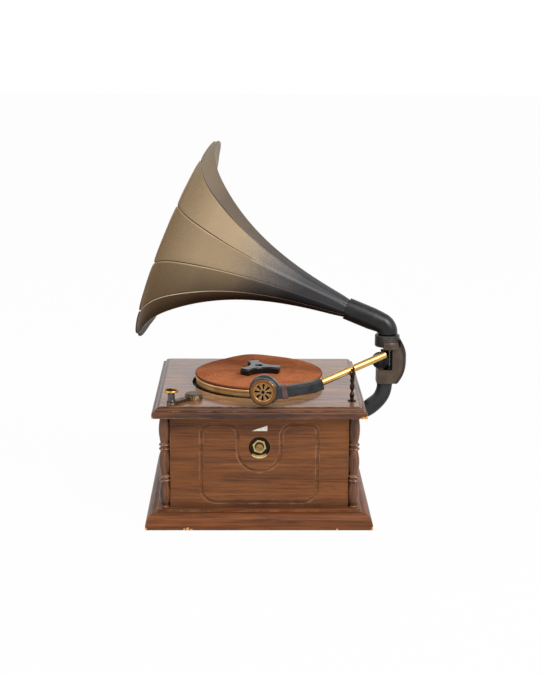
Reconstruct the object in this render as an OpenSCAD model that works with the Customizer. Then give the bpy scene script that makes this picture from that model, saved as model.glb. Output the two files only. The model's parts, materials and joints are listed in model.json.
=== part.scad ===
// Small wooden record player in the form of a horn gramophone.
// Millimetres. X runs to the right, Y away from the front, Z up.
// The origin is on the table, under the middle of the square cabinet.

/* [Cabinet] */
// Width and depth of the base moulding
base_w = 180; // [168:1:200]
// Height of the base moulding above the table
base_h = 14.4; // [12:0.2:20]
// Height of the plain band at the foot of the base moulding
base_band_h = 4.9; // [3:0.1:6]
// How far the rounded part of the base moulding runs in from its outer face
base_round_in = 8.1; // [6:0.1:9]
// Width of the base frame's timber, from its outer face inwards
base_frame_w = 26; // [22:0.5:30]
// Width and depth over the cabinet walls
wall_w = 152; // [148:1:156]
// Height of the walls, from the base moulding to the deck
wall_h = 75.4; // [70:1:100]
// Thickness of the walls
wall_t = 6; // [5:0.5:8]
// Thickness of the bottom panel
bottom_t = 3; // [2:0.5:4]
// Width of the glue blocks in the cabinet's corners
block_w = 10; // [6:0.5:12]
// Width of each sound slot in the back wall
slot_w = 3; // [2:0.5:3.5]
// Number of sound slots
slot_count = 7; // [3:2:9]

/* [Corner columns] */
// Largest radius of a turned column
column_r = 4.3; // [3.6:0.1:4.6]
// Smallest radius of a turned column, beside its beads
column_neck_r = 2.9; // [2.4:0.1:3.2]
// Height of one bead of a pair
bead_h = 2.9; // [2:0.1:3.2]
// Height of the lower pair of beads above the column's foot, to the middle of the pair
bead_low = 24.2; // [22:0.2:28]
// Height of the upper pair of beads above the column's foot, to the middle of the pair
bead_high = 50.2; // [46:0.2:54]

/* [Front panel] */
// Width of the routed line
groove_w = 2.6; // [1.6:0.2:3]
// Depth of the routed line
groove_depth = 0.9; // [0.4:0.1:1.4]
// Half the width of the routed outline
groove_half_w = 45.9; // [42:0.5:48]
// Height of the outline's lower line above the base moulding
groove_low = 4.3; // [4:0.1:8]
// Height of the outline's upper line above the base moulding
groove_high = 68.6; // [62:0.2:68.8]
// Radius of the outline's lower corners
groove_low_r = 12; // [8:0.5:16]
// Radius of the outline's upper outer corners
groove_high_r = 7.2; // [5:0.2:9]
// Radius of the bend into the dip round the control
groove_dip_r = 10.1; // [8:0.2:11]
// Radius of the dip round the control
dip_r = 17.1; // [14:0.2:18]
// Height of the volume control's axis above the base moulding
volume_z = 49.7; // [44:0.2:52]
// Radius of the recess round the volume control
volume_hole_r = 8.5; // [7.5:0.1:10]
// Wood left behind the recess
volume_web = 1.6; // [1.2:0.1:2.5]

/* [Volume control] */
// Radius of the threaded bush
bush_r = 3.5; // [3.2:0.1:4]
// Width of the nut across its flats
nut_af = 10; // [9:0.5:11]
// Thickness of the nut
nut_t = 2; // [1.6:0.1:2.4]
// Thickness of the washer under the nut
washer_t = 0.5; // [0.3:0.1:0.6]
// Radius of the shaft
shaft_r = 3; // [2.4:0.1:3]
// How far the shaft stands out beyond the nut
shaft_out = 3.2; // [3:0.1:6]
// Radius of the control's can
pot_r = 8; // [7:0.5:10]
// Depth of the control's can
pot_depth = 8; // [6:0.5:10]

/* [Deck] */
// Width and depth of the deck board
deck_w = 168.8; // [162:0.4:178]
// Thickness of the deck board
deck_t = 8.4; // [8:0.2:11]
// Height of the plain edge at the foot of the deck's moulding
deck_band_h = 3.6; // [2.4:0.1:4]
// How far the deck's flat top is set in from its outer edge
deck_in = 5.9; // [5:0.1:7]
// Radius of the well that the platter turns in
well_r = 55.3; // [54.8:0.1:56]
// Depth of the well
well_depth = 4.2; // [3.6:0.1:4.6]

/* [Platter] */
// Radius of the platter
platter_r = 52.8; // [48:0.1:53.6]
// Height of the platter's rim
platter_h = 9.9; // [9:0.1:11]
// Thickness of the platter's skirt and top
platter_wall = 2; // [1.6:0.1:3]
// Gap between the platter and the floor of its well
platter_gap = 0.6; // [0.4:0.1:0.8]
// Radius of the felt mat
mat_r = 52.9; // [51.5:0.1:54]
// Thickness of the felt mat
mat_t = 1.8; // [1.2:0.1:2.4]
// How far the mat has lifted at the back
mat_lift = 2.4; // [0.4:0.1:3]
// Radius of the spindle
spindle_r = 3; // [2.5:0.1:3.5]
// Running clearance round a shaft
run_gap = 0.05; // [0.02:0.01:0.09]
// Span of the three-armed record clamp
clamp_span = 36; // [32:0.5:38]
// Thickness of the clamp
clamp_t = 5.5; // [4.5:0.1:6.5]
// Radius of the clamp's waist between two arms
clamp_waist = 7.2; // [6:0.2:8]
// Half the width of an arm's tip
clamp_tip = 4.9; // [4:0.1:5.4]

/* [Drive] */
// Radius of the pulley on the spindle
drive_r = 24; // [20:0.5:28]
// Radius of the motor's pulley
motor_pulley_r = 4; // [3.5:0.1:5]
// Height of both pulleys
pulley_h = 5; // [4:0.2:6]
// Distance from the spindle to the motor's shaft
drive_centres = 44; // [42:0.5:46]
// Radius of the motor
motor_r = 12; // [10:0.5:13]
// Height of the motor
motor_h = 22; // [16:0.5:25]
// Radius of the motor's shaft
motor_shaft_r = 1; // [0.8:0.1:1.5]

/* [Lever] */
// Distance of the lever's axis in from the left wall's face
lever_in_x = 23.5; // [22:0.1:25]
// Distance of the lever's axis in from the front wall's face
lever_in_y = 21.9; // [21:0.1:24]
// Distance from the lever's axis to its knob
lever_len = 25.2; // [22:0.2:26]
// Radius of the lever's round head
lever_hub_r = 6.9; // [5.5:0.1:7.5]
// Height of the knob above the deck
knob_h = 13.2; // [10:0.2:15]
// Radius of the knob's cap
knob_r = 5.9; // [4.5:0.1:6.2]

/* [Arm rest] */
// Distance of the rest's axis in from the deck's right edge
rest_in = 10.9; // [9.8:0.1:11.6]
// Radius of the rest's turned beads
rest_r = 2; // [1.7:0.1:2.3]

/* [Tone arm] */
// Radius of the brass tube
tube_r = 2.9; // [2.4:0.1:3.1]
// Wall of the brass tube
tube_wall = 0.5; // [0.3:0.1:0.8]
// Height of the lift axis above the deck
lift_z = 27.8; // [27:0.1:29]
// Radius of the disc that the tube is fixed to
hub_r = 6.6; // [6:0.1:7.2]
// Thickness of the disc
hub_t = 4; // [3.4:0.1:4.4]
// Radius of the pin that the arm swings on
pin_r = 1.2; // [1:0.1:1.4]
// Radius of the stub that the arm lifts on
stub_r = 2.5; // [2:0.1:3]
// Height of the square arm section where it leaves the tube
arm_h = 8.6; // [7:0.2:9]
// Depth of the square arm section
arm_d = 7; // [6:0.2:8]
// Radius of the reproducer's case
case_r = 12.1; // [11.8:0.1:12.4]
// Depth of the reproducer's case
case_d = 9.4; // [8:0.2:10]
// Radius of the reproducer's brass face
face_r = 10.1; // [9.4:0.1:10.6]
// Number of drop-shaped holes in the face
face_holes = 8; // [6:1:9]
// Turn of the reproducer to the left
case_turn = 9.5; // [0:0.5:14]

/* [Horn bracket] */
// Distance of the horn's upright axis out from the deck's right edge
horn_out = 19; // [18.6:0.1:20.6]
// Distance of the bracket's middle plane in front of the spindle
bracket_y = 30; // [28:0.5:31]
// Thickness of the bracket's head, front to back
head_t = 13; // [12:0.2:14]
// Thickness of the bracket's curved arm, front to back
arm_t = 10.4; // [9:0.2:12]
// Outer radius of the horn collar
collar_r = 10; // [9.2:0.1:10.4]
// Height of the horn collar
collar_h = 9.3; // [8:0.1:11]
// Thickness of the head's upper jaw under the collar
jaw_t = 1.7; // [1.6:0.1:3]

/* [Horn] */
// Slope of the horn's axis above the horizontal
horn_rise = 21; // [12:0.2:28]
// Turn of the horn's axis away from the front
horn_turn = 9; // [0:0.5:20]
// Radius of the elbow's socket for the horn
sleeve_r = 8.95; // [8.5:0.05:9.4]
// Radius of the elbow's upright end
elbow_r = 7.4; // [7.2:0.05:8]
// Outer radius of the horn at the socket
throat_r = 7.45; // [7.2:0.05:7.6]
// Outer radius of the horn's mouth at a petal's middle
mouth_r = 87; // [76:0.5:92]
// Growth of the horn's bell: length for each natural-log step of radius
flare_len = 66; // [58:1:72]
// Radius at which the lip starts to curl
lip_start = 55; // [48:1:62]
// Strength of the lip's curl
lip_curl = 0.0150; // [0.008:0.001:0.018]
// Number of petals
petals = 11; // [8:1:12]
// How far the seams lie inside the petals at the mouth, as a share of the radius
petal_depth = 0.062; // [0.02:0.002:0.08]
// Thickness of the horn's wall
horn_wall = 1.4; // [1.2:0.1:2]

/* [Hidden] */

$fn = 48;
seat = 0.15;          // clearance of a curved seat
deck_z = base_h + wall_h;
top_z = deck_z + deck_t;
wall_o = wall_w / 2;
wall_i = wall_o - wall_t;
deck_o = deck_w / 2;
frame_i = base_w / 2 - base_frame_w;
rebate = 4;           // ledge that the bottom panel is screwed to
column_c = wall_o - 1;
column_cut = column_r + seat;
volume_axis_z = base_h + volume_z;

// Platter stack, from the floor of the well up
well_z = top_z - well_depth;
platter_z = well_z + platter_gap;
mat_z = platter_z + platter_h;
clamp_z = mat_z + mat_t + 0.1;
clamp_top = clamp_z + clamp_t;
bush_out_r = spindle_r + 2.2;
pulley_top = deck_z - 3;
pulley_z = pulley_top - pulley_h;
clip_t = 0.8;
spindle_low = pulley_z - 4;
motor_x = drive_centres * cos(35);
motor_y = drive_centres * sin(35);
belt_t = 1.2;
belt_h = 2;
groove_in = 1.4;      // depth of the belt's groove in a pulley
plate_z = pulley_z - 4.5;
plate_t = 2;

// Lever
lever_x = wall_o - lever_in_x;
lever_y = wall_o - lever_in_y;
lever_gap = 0.4;
lever_t = 2;
lever_a = 228;        // direction from the lever's axis to its knob
lever_dx = lever_len * cos(lever_a);
lever_dy = lever_len * sin(lever_a);
lever_shaft_r = 2;

// Fasteners
wood_screw_r = 1.5;
wood_head_r = 2.8;
wood_head_t = 1.1;
bottom_screw_at = frame_i - 3;
screw_r = 1.6;        // screws of the horn bracket
screw_dy = 9;         // from the bracket's middle plane to each screw
screw_z = deck_z - 17;
rest_dowel_r = 1.2;

// Works
speaker_r = 26;
speaker_rim = 4.6;    // flat rim that the screws hold, round the speaker's cone
cone_h = 9;
magnet_r = 13;
magnet_h = 8;
board_w = 44;
board_d = 28;
board_t = 1.6;
board_leg_h = 5;
board_edge = 4;       // from the board's edges to its legs
switch_w = 14;
switch_d = 12;
switch_h = 10;
tag_h = 5;            // the switch's solder tags
speaker_z = base_h + wall_h / 2;
cell_r = 7;
cell_l = 50;
cell_pitch = 2 * cell_r + 0.6;
cell_wall = 1.5;      // wall of the battery tray
battery_x = -30;
battery_y = -12;

// Arm pivots and the arm's line, right to left
horn_x = deck_o + horn_out;
pivot_out = horn_out - 0.5;   // from the deck's right edge to the arm's upright pin
pivot_x = deck_o + pivot_out;
pivot_y = -bracket_y;
lift_h = top_z + lift_z;
slot_low = lift_h - 8.8;
slot_high = lift_h + 8.4;
slot_x = pivot_x + 2.85;
post_r = 2.4;         // upright post of the swivel
hub_x = pivot_x - 5.7;
hub_back = head_t / 2 + 0.5;
hub_y = pivot_y - hub_back - hub_t;
tube_a = [hub_x + 2.9, hub_y - 3.6, lift_h + 5.7];
tube_b = [47.7, -75.9, top_z + 18.8];
arm_yaw = 4;          // turn and slope of the head section, left to right
arm_dip = 10;
joint_p = [41.3, -76.2, top_z + 15.4];
band_p = [21.3, -77.3, top_z + 12.3];
neck_p = [16.9, -77.6, top_z + 11.8];
case_p = [3.3, -79.6, top_z + 13.2];
rest_x = deck_o - rest_in;
rest_y = tube_a[1] + (tube_b[1] - tube_a[1]) * (tube_a[0] - rest_x) / (tube_a[0] - tube_b[0]);
rest_tube_z = tube_a[2] + (tube_b[2] - tube_a[2]) * (tube_a[0] - rest_x) / (tube_a[0] - tube_b[0]);

// Horn bracket: inner and outer edge of each station of the curved arm, in X and Z
foot_low = deck_z - 14.4;
foot_high = deck_z - 2;
plate_low = deck_z - 24;
split_z = slot_low - 11.5;  // where the bracket's head sits on its arm
head_x = deck_o + 10.9;     // inner edge of the head there
stations = [
    [[wall_o + 2.5, foot_high], [wall_o + 2.5, foot_low]],
    [[wall_o + 8.6, deck_z - 1.6], [wall_o + 10.4, foot_low + 0.3]],
    [[deck_o + 3.6, deck_z + 1.0], [deck_o + 9.6, deck_z - 10.2]],
    [[deck_o + 9.0, deck_z + 5.4], [deck_o + 17.5, deck_z - 2.7]],
    [[deck_o + 11.3, deck_z + 10.6], [deck_o + 22.4, deck_z + 5.8]],
    [[head_x + 0.7, split_z], [head_x + 13.3, split_z]]];

// Horn
collar_z = slot_high + jaw_t;
collar_top = collar_z + collar_h;
spigot_r = 6;
bend_r = sleeve_r - 0.1;
bend_tube_r = sleeve_r - 0.75;
bend_turn = 90 - horn_rise;
bend_z = collar_top + 1.5;
axis_z = bend_z + bend_r * tan(bend_turn / 2);
sleeve_from = bend_r * tan(bend_turn / 2);
sleeve_to = 35.5;
plug_depth = 11;
horn_rings = 24;
petal_steps = 6;
seam_phase = -92.6;        // direction of one seam, seen along the horn

// Colours
oak = [0.36, 0.20, 0.12];
dark_oak = [0.27, 0.15, 0.10];
ply = [0.62, 0.46, 0.30];
brass = [0.72, 0.56, 0.25];
old_brass = [0.45, 0.33, 0.16];
steel = [0.62, 0.62, 0.60];
black = [0.07, 0.07, 0.075];
bronze = [0.22, 0.16, 0.12];
felt = [0.60, 0.27, 0.13];
rubber = [0.10, 0.10, 0.10];

// Points of an elliptical quarter arc about c, from angle a0 to a1
function arc(c, rx, ry, a0, a1, n = 6) =
    [for (i = [0:n]) let (a = a0 + (a1 - a0) * i / n) [c[0] + rx * cos(a), c[1] + ry * sin(a)]];
function mirrored(p) = [for (i = [len(p) - 1:-1:0]) [-p[i][0], p[i][1]]];
function mix(a, b, t) = a + (b - a) * t;
function unit(v) = v / norm(v);

module tube_between(a, b, r) {
    d = b - a;
    translate(a)
        rotate([0, acos(d[2] / norm(d)), atan2(d[1], d[0])])
            cylinder(r = r, h = norm(d));
}

module ring_z(r_out, r_in, h) {
    difference() {
        cylinder(r = r_out, h = h);
        translate([0, 0, -1]) cylinder(r = r_in, h = h + 2);
    }
}

// A square slab whose moulded edge follows the section's right-hand points
module moulded_slab(edge, w) {
    section = concat(edge, mirrored(edge));
    intersection() {
        rotate([90, 0, 0]) translate([0, 0, -w / 2]) linear_extrude(w) polygon(section);
        rotate([90, 0, 90]) translate([0, 0, -w / 2]) linear_extrude(w) polygon(section);
    }
}

module square_prism(w, z0, z1) {
    translate([-w / 2, -w / 2, z0]) cube([w, w, z1 - z0]);
}

module at_corners(d) {
    for (x = [-d, d], y = [-d, d]) translate([x, y, 0]) children();
}

module column_cuts(z0, z1) {
    at_corners(column_c) translate([0, 0, z0]) cylinder(r = column_cut, h = z1 - z0);
}

// Cabinet
module base_moulding() {
    o = base_w / 2;
    step_z = base_h - 1.7;
    top_x = o - base_round_in - 1.6;
    edge = concat(
        [[o, 0], [o, base_band_h - 0.5], [o - 0.5, base_band_h]],
        arc([o - base_round_in, base_band_h], base_round_in - 0.5, step_z - base_band_h, 0, 90, 8),
        [[top_x + 0.8, step_z]],
        arc([top_x, base_h - 0.8], 0.8, 0.8, 0, 90, 4));
    color(oak)
        difference() {
            moulded_slab(edge, base_w);
            square_prism(2 * frame_i, -1, base_h + 1);
            square_prism(2 * (frame_i + rebate), -1, bottom_t);
        }
}

module bottom_panel() {
    w = 2 * (frame_i + rebate) - 0.4;
    color(ply)
        difference() {
            square_prism(w, 0, bottom_t);
            at_corners(bottom_screw_at) {
                translate([0, 0, -1]) cylinder(r = wood_screw_r + 0.1, h = bottom_t + 2);
                translate([0, 0, -1]) cylinder(r = wood_head_r + 0.2, h = wood_head_t + 1.2);
            }
        }
}

// Wood screws up through the bottom panel into the glue blocks
module bottom_screws() {
    color(steel)
        at_corners(bottom_screw_at)
            difference() {
                translate([0, 0, 0.2]) rotate_extrude()
                    polygon([[0, 0], [wood_head_r, 0], [wood_head_r, wood_head_t],
                        [wood_screw_r, wood_head_t], [wood_screw_r, bottom_t + 4], [0, bottom_t + 4]]);
                translate([-2, -0.35, -0.5]) cube([4, 0.7, 1.2]);
            }
}

// One straight or bent stroke of the routed line, drawn on the wall's face
module stroke(a, b) {
    w = groove_w / 2;
    low = [min(a[0], b[0]) - (a[0] == b[0] ? w : 0), min(a[1], b[1]) - (a[1] == b[1] ? w : 0)];
    high = [max(a[0], b[0]) + (a[0] == b[0] ? w : 0), max(a[1], b[1]) + (a[1] == b[1] ? w : 0)];
    translate(low) square(high - low);
}

module bend(c, r, a0, a1) {
    w = groove_w / 2;
    polygon(concat(arc(c, r + w, r + w, a0, a1, 12), arc(c, r - w, r - w, a1, a0, 12)));
}

module groove_outline() {
    low = base_h + groove_low;
    high = base_h + groove_high;
    x = groove_half_w;
    for (side = [0, 1]) mirror([side, 0]) {
        stroke([0, low], [x - groove_low_r, low]);
        bend([x - groove_low_r, low + groove_low_r], groove_low_r, 270, 360);
        stroke([x, low + groove_low_r], [x, high - groove_high_r]);
        bend([x - groove_high_r, high - groove_high_r], groove_high_r, 0, 90);
        stroke([dip_r + groove_dip_r, high], [x - groove_high_r, high]);
        bend([dip_r + groove_dip_r, high - groove_dip_r], groove_dip_r, 90, 180);
        stroke([dip_r, volume_axis_z - 2.6], [dip_r, high - groove_dip_r]);
        bend([0, volume_axis_z - 2.6], dip_r, 270, 360);
    }
}

module front_wall() {
    color(oak)
        difference() {
            translate([-wall_o + 4, -wall_o, base_h]) cube([wall_w - 8, wall_t, wall_h]);
            column_cuts(base_h - 1, deck_z + 1);
            translate([0, -wall_o + groove_depth, 0]) rotate([90, 0, 0])
                linear_extrude(groove_depth + 1) groove_outline();
            translate([0, -wall_i - volume_web, volume_axis_z]) rotate([90, 0, 0])
                cylinder(r = volume_hole_r, h = wall_t + 1);
            translate([0, -wall_i + 1, volume_axis_z]) rotate([90, 0, 0])
                cylinder(r = bush_r + seat, h = wall_t + 2);
        }
}

module back_wall() {
    slot_h = wall_h * 0.55;
    color(oak)
        difference() {
            translate([-wall_o + 4, wall_i, base_h]) cube([wall_w - 8, wall_t, wall_h]);
            column_cuts(base_h - 1, deck_z + 1);
            for (i = [0:slot_count - 1]) {
                x = (i - (slot_count - 1) / 2) * slot_w * 2.6;
                h = slot_h * sqrt(1 - pow((i - (slot_count - 1) / 2) / (slot_count / 2 + 0.8), 2));
                translate([x - slot_w / 2, wall_i - 1, base_h + wall_h / 2 - h / 2])
                    cube([slot_w, wall_t + 2, h]);
            }
        }
}

module side_wall(side) {
    x = side > 0 ? wall_i : -wall_o;
    color(oak)
        difference() {
            translate([x, -wall_i, base_h]) cube([wall_t, 2 * wall_i, wall_h]);
            column_cuts(base_h - 1, deck_z + 1);
            if (side > 0)
                for (y = [-screw_dy, screw_dy])
                    translate([wall_i - 1, pivot_y + y, screw_z]) rotate([0, 90, 0])
                        cylinder(r = screw_r + seat, h = wall_t + 2);
        }
}

module left_wall() {
    side_wall(-1);
}

module right_wall() {
    side_wall(1);
}

// Half outline of a swelling drum, from z0 to z1
function drum(z0, z1, r0, r1, mid) =
    [for (i = [0:6]) let (t = i / 6, r = mix(r0, r1, t)) [r + (mid - r) * sin(180 * t), mix(z0, z1, t)]];
function bead(z, r) =
    [for (i = [0:4]) [column_neck_r + (r - column_neck_r) * sin(45 * i), z + bead_h * (i / 4 - 0.5)]];

module column() {
    top = wall_h;
    pair = bead_h + 0.5;
    outline = concat(
        [[0, 0], [column_neck_r, 0], [column_neck_r, 1]],
        drum(1.4, bead_low - pair, column_neck_r - 0.3, column_neck_r + 0.1, column_r),
        bead(bead_low - pair / 2, column_r),
        bead(bead_low + pair / 2, column_r),
        drum(bead_low + pair, bead_high - pair, column_neck_r + 0.1, column_neck_r + 0.1, column_r),
        bead(bead_high - pair / 2, column_r),
        bead(bead_high + pair / 2, column_r),
        drum(bead_high + pair, top - 1, column_neck_r + 0.1, column_neck_r + 0.3, column_r),
        [[column_neck_r + 0.3, top], [0, top]]);
    rotate_extrude() polygon(outline);
}

module corner_columns() {
    color(dark_oak)
        at_corners(column_c) translate([0, 0, base_h]) column();
}

module corner_blocks() {
    color(ply)
        difference() {
            at_corners(wall_i - block_w / 2)
                translate([-block_w / 2, -block_w / 2, bottom_t])
                    cube([block_w, block_w, deck_z - bottom_t]);
            base_void();
            at_corners(bottom_screw_at) cylinder(r = wood_screw_r + seat, h = bottom_t + 4.5);
        }
}

// The space that the base frame's timber fills, cut from what stands in it
module base_void() {
    difference() {
        square_prism(base_w, 0, base_h);
        square_prism(2 * frame_i, -1, base_h + 1);
    }
}

module top_board() {
    o = deck_o;
    step = 1.6;         // radius of the nosing above the plain edge
    ledge = 0.9;        // flat between the nosing and the quarter round
    lip = 0.5;          // upright edge of the flat top
    round_x = o - step - ledge;
    round_z = deck_z + deck_band_h + step;
    edge = concat(
        [[o, deck_z]],
        arc([o - step, deck_z + deck_band_h], step, step, 0, 90, 4),
        arc([o - deck_in + lip, round_z], round_x - o + deck_in - lip, top_z - lip - round_z, 0, 90, 6),
        [[o - deck_in, top_z - lip], [o - deck_in, top_z]]);
    color(dark_oak)
        difference() {
            moulded_slab(edge, deck_w);
            translate([0, 0, well_z]) cylinder(r = well_r, h = well_depth + 1, $fn = 96);
            translate([0, 0, deck_z - 1]) cylinder(r = bush_out_r + seat, h = deck_t + 2);
            translate([-lever_x, -lever_y, deck_z - 1])
                cylinder(r = lever_shaft_r + run_gap, h = deck_t + 2);
            translate([-lever_x, -lever_y, top_z - 1.2]) cylinder(r = lever_hub_r + 0.7, h = 2);
            translate([rest_x, rest_y, top_z - 4]) cylinder(r = rest_dowel_r + seat, h = 5);
        }
}

// Volume control
module volume_pot() {
    floor_y = -wall_i - volume_web;
    color(steel)
        difference() {
            union() {
                translate([0, -wall_i + pot_depth, volume_axis_z]) rotate([90, 0, 0])
                    cylinder(r = pot_r, h = pot_depth);
                translate([0, -wall_i, volume_axis_z]) rotate([90, 0, 0])
                    cylinder(r = bush_r, h = volume_web + washer_t + nut_t - 0.3);
                translate([-pot_r * 0.7, -wall_i + 1, volume_axis_z - pot_r - 4])
                    cube([pot_r * 1.4, 2.5, 8]);
            }
            translate([0, -wall_i + pot_depth - 2, volume_axis_z]) rotate([90, 0, 0])
                cylinder(r = shaft_r + run_gap, h = pot_depth + wall_t);
        }
}

module volume_washer() {
    color(steel)
        translate([0, -wall_i - volume_web, volume_axis_z]) rotate([90, 0, 0])
            ring_z(nut_af / 2 + 1.2, bush_r + seat, washer_t);
}

module volume_nut() {
    color(brass)
        translate([0, -wall_i - volume_web - washer_t, volume_axis_z]) rotate([90, 15, 0])
            difference() {
                cylinder(r = nut_af / sqrt(3), h = nut_t, $fn = 6);
                translate([0, 0, -1]) cylinder(r = bush_r + 0.05, h = nut_t + 2);
            }
}

// Shaft with a clip groove in front of the nut and a slot across its end
module volume_shaft() {
    y_in = -wall_i + pot_depth - 2.3;
    y_out = -wall_i - volume_web - washer_t - nut_t - shaft_out;
    color(brass)
        difference() {
            translate([0, y_in, volume_axis_z]) rotate([90, 0, 0]) cylinder(r = shaft_r, h = y_in - y_out);
            translate([0, y_out, volume_axis_z]) rotate([0, 25, 0]) translate([-5, -0.1, -0.4])
                cube([10, 0.8, 0.8]);
            translate([0, y_out + shaft_out - 0.2, volume_axis_z]) rotate([90, 0, 0])
                ring_z(shaft_r + 1, shaft_r - 0.3, 0.5);
        }
}

// Platter and its drive
module spindle_bush() {
    color(brass)
        difference() {
            union() {
                translate([0, 0, deck_z - 2]) cylinder(r = bush_out_r, h = well_z - deck_z + 2);
                translate([0, 0, deck_z - 2]) cylinder(r = bush_out_r + 2, h = 2);
            }
            translate([0, 0, deck_z - 3]) cylinder(r = spindle_r + run_gap, h = deck_t + 4);
        }
}

module spindle() {
    color(steel)
        translate([0, 0, spindle_low]) cylinder(r = spindle_r, h = clamp_top - 1.9 - spindle_low);
}

module platter() {
    bore = spindle_r + 0.02;
    color(brass)
        rotate_extrude($fn = 96)
            polygon(concat(
                [[bore, platter_z], [bore + 5, platter_z], [bore + 5, platter_z + platter_h - platter_wall],
                 [platter_r - platter_wall, platter_z + platter_h - platter_wall],
                 [platter_r - platter_wall, platter_z], [platter_r - 0.5, platter_z],
                 [platter_r - 0.5, platter_z + platter_h - 2.6]],
                arc([platter_r - 0.5, platter_z + platter_h - 2], 0.5, 0.6, -90, 0, 3),
                arc([platter_r - 0.8, platter_z + platter_h - 0.8], 0.8, 0.8, 0, 90, 3),
                [[bore, platter_z + platter_h]]));
}

// Height of the mat above its plain level: the back has lifted in one soft hump
function mat_rise(x, y) =
    let (r = norm([x, y]) / mat_r, a = atan2(y, x))
    mat_lift * pow(max(0, (r - 0.55) / 0.45), 2)
        * (mat_wave(a, 97, 21) + 0.25 * mat_wave(a, 55, 24) + 0.15 * mat_wave(a, -140, 30));
function mat_wave(a, at, width) = exp(-pow((a - at) / width, 2));

module felt_mat() {
    n = 48;
    radii = [spindle_r + 1, 22, 32, 40, 47, mat_r - 0.6, mat_r];
    m = len(radii);
    bevel = [0, 0, 0, 0, 0, 0, 0.5];
    base = mat_z + 0.05;
    top = [for (j = [0:m - 1], i = [0:n - 1]) let (a = 360 * i / n, p = radii[j] * [cos(a), sin(a)])
        [p[0], p[1], base + mat_t - bevel[j] + mat_rise(p[0], p[1])]];
    low = [for (j = [0:m - 1], i = [0:n - 1]) let (a = 360 * i / n, p = radii[j] * [cos(a), sin(a)])
        [p[0], p[1], base + bevel[j] + mat_rise(p[0], p[1])]];
    k = m * n;
    function at(j, i) = j * n + i % n;
    faces = concat(
        [for (j = [0:m - 2], i = [0:n - 1]) each [[at(j, i), at(j + 1, i + 1), at(j + 1, i)],
            [at(j, i), at(j, i + 1), at(j + 1, i + 1)]]],
        [for (j = [0:m - 2], i = [0:n - 1]) each [[k + at(j, i), k + at(j + 1, i), k + at(j + 1, i + 1)],
            [k + at(j, i), k + at(j + 1, i + 1), k + at(j, i + 1)]]],
        [for (i = [0:n - 1]) each [[at(m - 1, i), at(m - 1, i + 1), k + at(m - 1, i + 1)],
            [at(m - 1, i), k + at(m - 1, i + 1), k + at(m - 1, i)]]],
        [for (i = [0:n - 1]) each [[at(0, i), k + at(0, i + 1), at(0, i + 1)],
            [at(0, i), k + at(0, i), k + at(0, i + 1)]]]);
    color(felt) polyhedron(concat(top, low), faces);
}

// Three-armed clamp that drops over the spindle
module record_clamp() {
    r = clamp_span / 2;
    tip = sqrt(r * r - clamp_tip * clamp_tip);
    cut_at = (r * r - clamp_waist * clamp_waist)
        / (2 * (tip * cos(60) + clamp_tip * sin(60) - clamp_waist));
    edge = 0.5;
    color(black)
        translate([0, 0, clamp_z])
            difference() {
                union() {
                    cylinder(r1 = r - edge, r2 = r, h = edge);
                    translate([0, 0, edge]) cylinder(r = r, h = clamp_t - 2 * edge);
                    translate([0, 0, clamp_t - edge]) cylinder(r1 = r, r2 = r - edge, h = edge);
                }
                for (a = [46, 166, 286]) rotate(a) translate([cut_at, 0, -1])
                    cylinder(r = cut_at - clamp_waist, h = clamp_t + 2, $fn = 96);
                translate([0, 0, -1]) cylinder(r = spindle_r + 0.1, h = 20);
            }
}

module pulley(r, bore) {
    rotate_extrude()
        polygon([[bore, 0], [r, 0], [r, 0.6], [r - groove_in, 1.5], [r - groove_in, pulley_h - 1.5],
            [r, pulley_h - 0.6], [r, pulley_h], [bore, pulley_h]]);
}

module drive_pulley() {
    color(black) translate([0, 0, pulley_z]) pulley(drive_r, spindle_r + 0.02);
}

module spindle_clip() {
    color(steel) translate([0, 0, pulley_z - 0.1 - clip_t]) ring_z(spindle_r + 2, spindle_r + 0.02, clip_t);
}

module drive_belt() {
    z = pulley_z + pulley_h / 2 - belt_h / 2;
    in_a = drive_r - groove_in + 0.25;
    in_b = motor_pulley_r - groove_in + 0.25;
    lean = acos((in_a - in_b) / drive_centres);
    function loop(t) = concat(
        arc([0, 0], in_a + t, in_a + t, 35 + lean, 395 - lean, 40),
        arc([motor_x, motor_y], in_b + t, in_b + t, 35 - lean, 35 + lean, 12));
    color(rubber)
        translate([0, 0, z]) linear_extrude(belt_h)
            difference() {
                polygon(loop(belt_t));
                polygon(loop(0));
            }
}

module motor_bracket() {
    post_r = 2.4;
    w = 2 * motor_r + 8;
    color(steel)
        translate([motor_x, motor_y, 0]) {
            difference() {
                translate([-w / 2, -motor_r, plate_z]) cube([w, 2 * motor_r, plate_t]);
                translate([0, 0, plate_z - 1]) cylinder(r = motor_shaft_r + 1.5, h = plate_t + 2);
            }
            for (x = [-1, 1])
                translate([x * (w / 2 - post_r - 0.6), x * (motor_r - post_r - 1), plate_z + plate_t])
                    cylinder(r = post_r, h = deck_z - plate_z - plate_t);
        }
}

module drive_motor() {
    color(steel)
        translate([motor_x, motor_y, plate_z - motor_h])
            difference() {
                union() {
                    cylinder(r = motor_r, h = motor_h);
                    translate([0, 0, -1.6]) cylinder(r = motor_r * 0.3, h = 2);
                }
                translate([0, 0, motor_h - 8]) cylinder(r = motor_shaft_r + run_gap, h = 9);
            }
}

module motor_shaft() {
    color(steel)
        translate([motor_x, motor_y, plate_z - 7.5])
            cylinder(r = motor_shaft_r, h = pulley_top - plate_z + 7.5);
}

module motor_pulley() {
    color(brass) translate([motor_x, motor_y, pulley_z]) pulley(motor_pulley_r, motor_shaft_r + 0.02);
}

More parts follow.
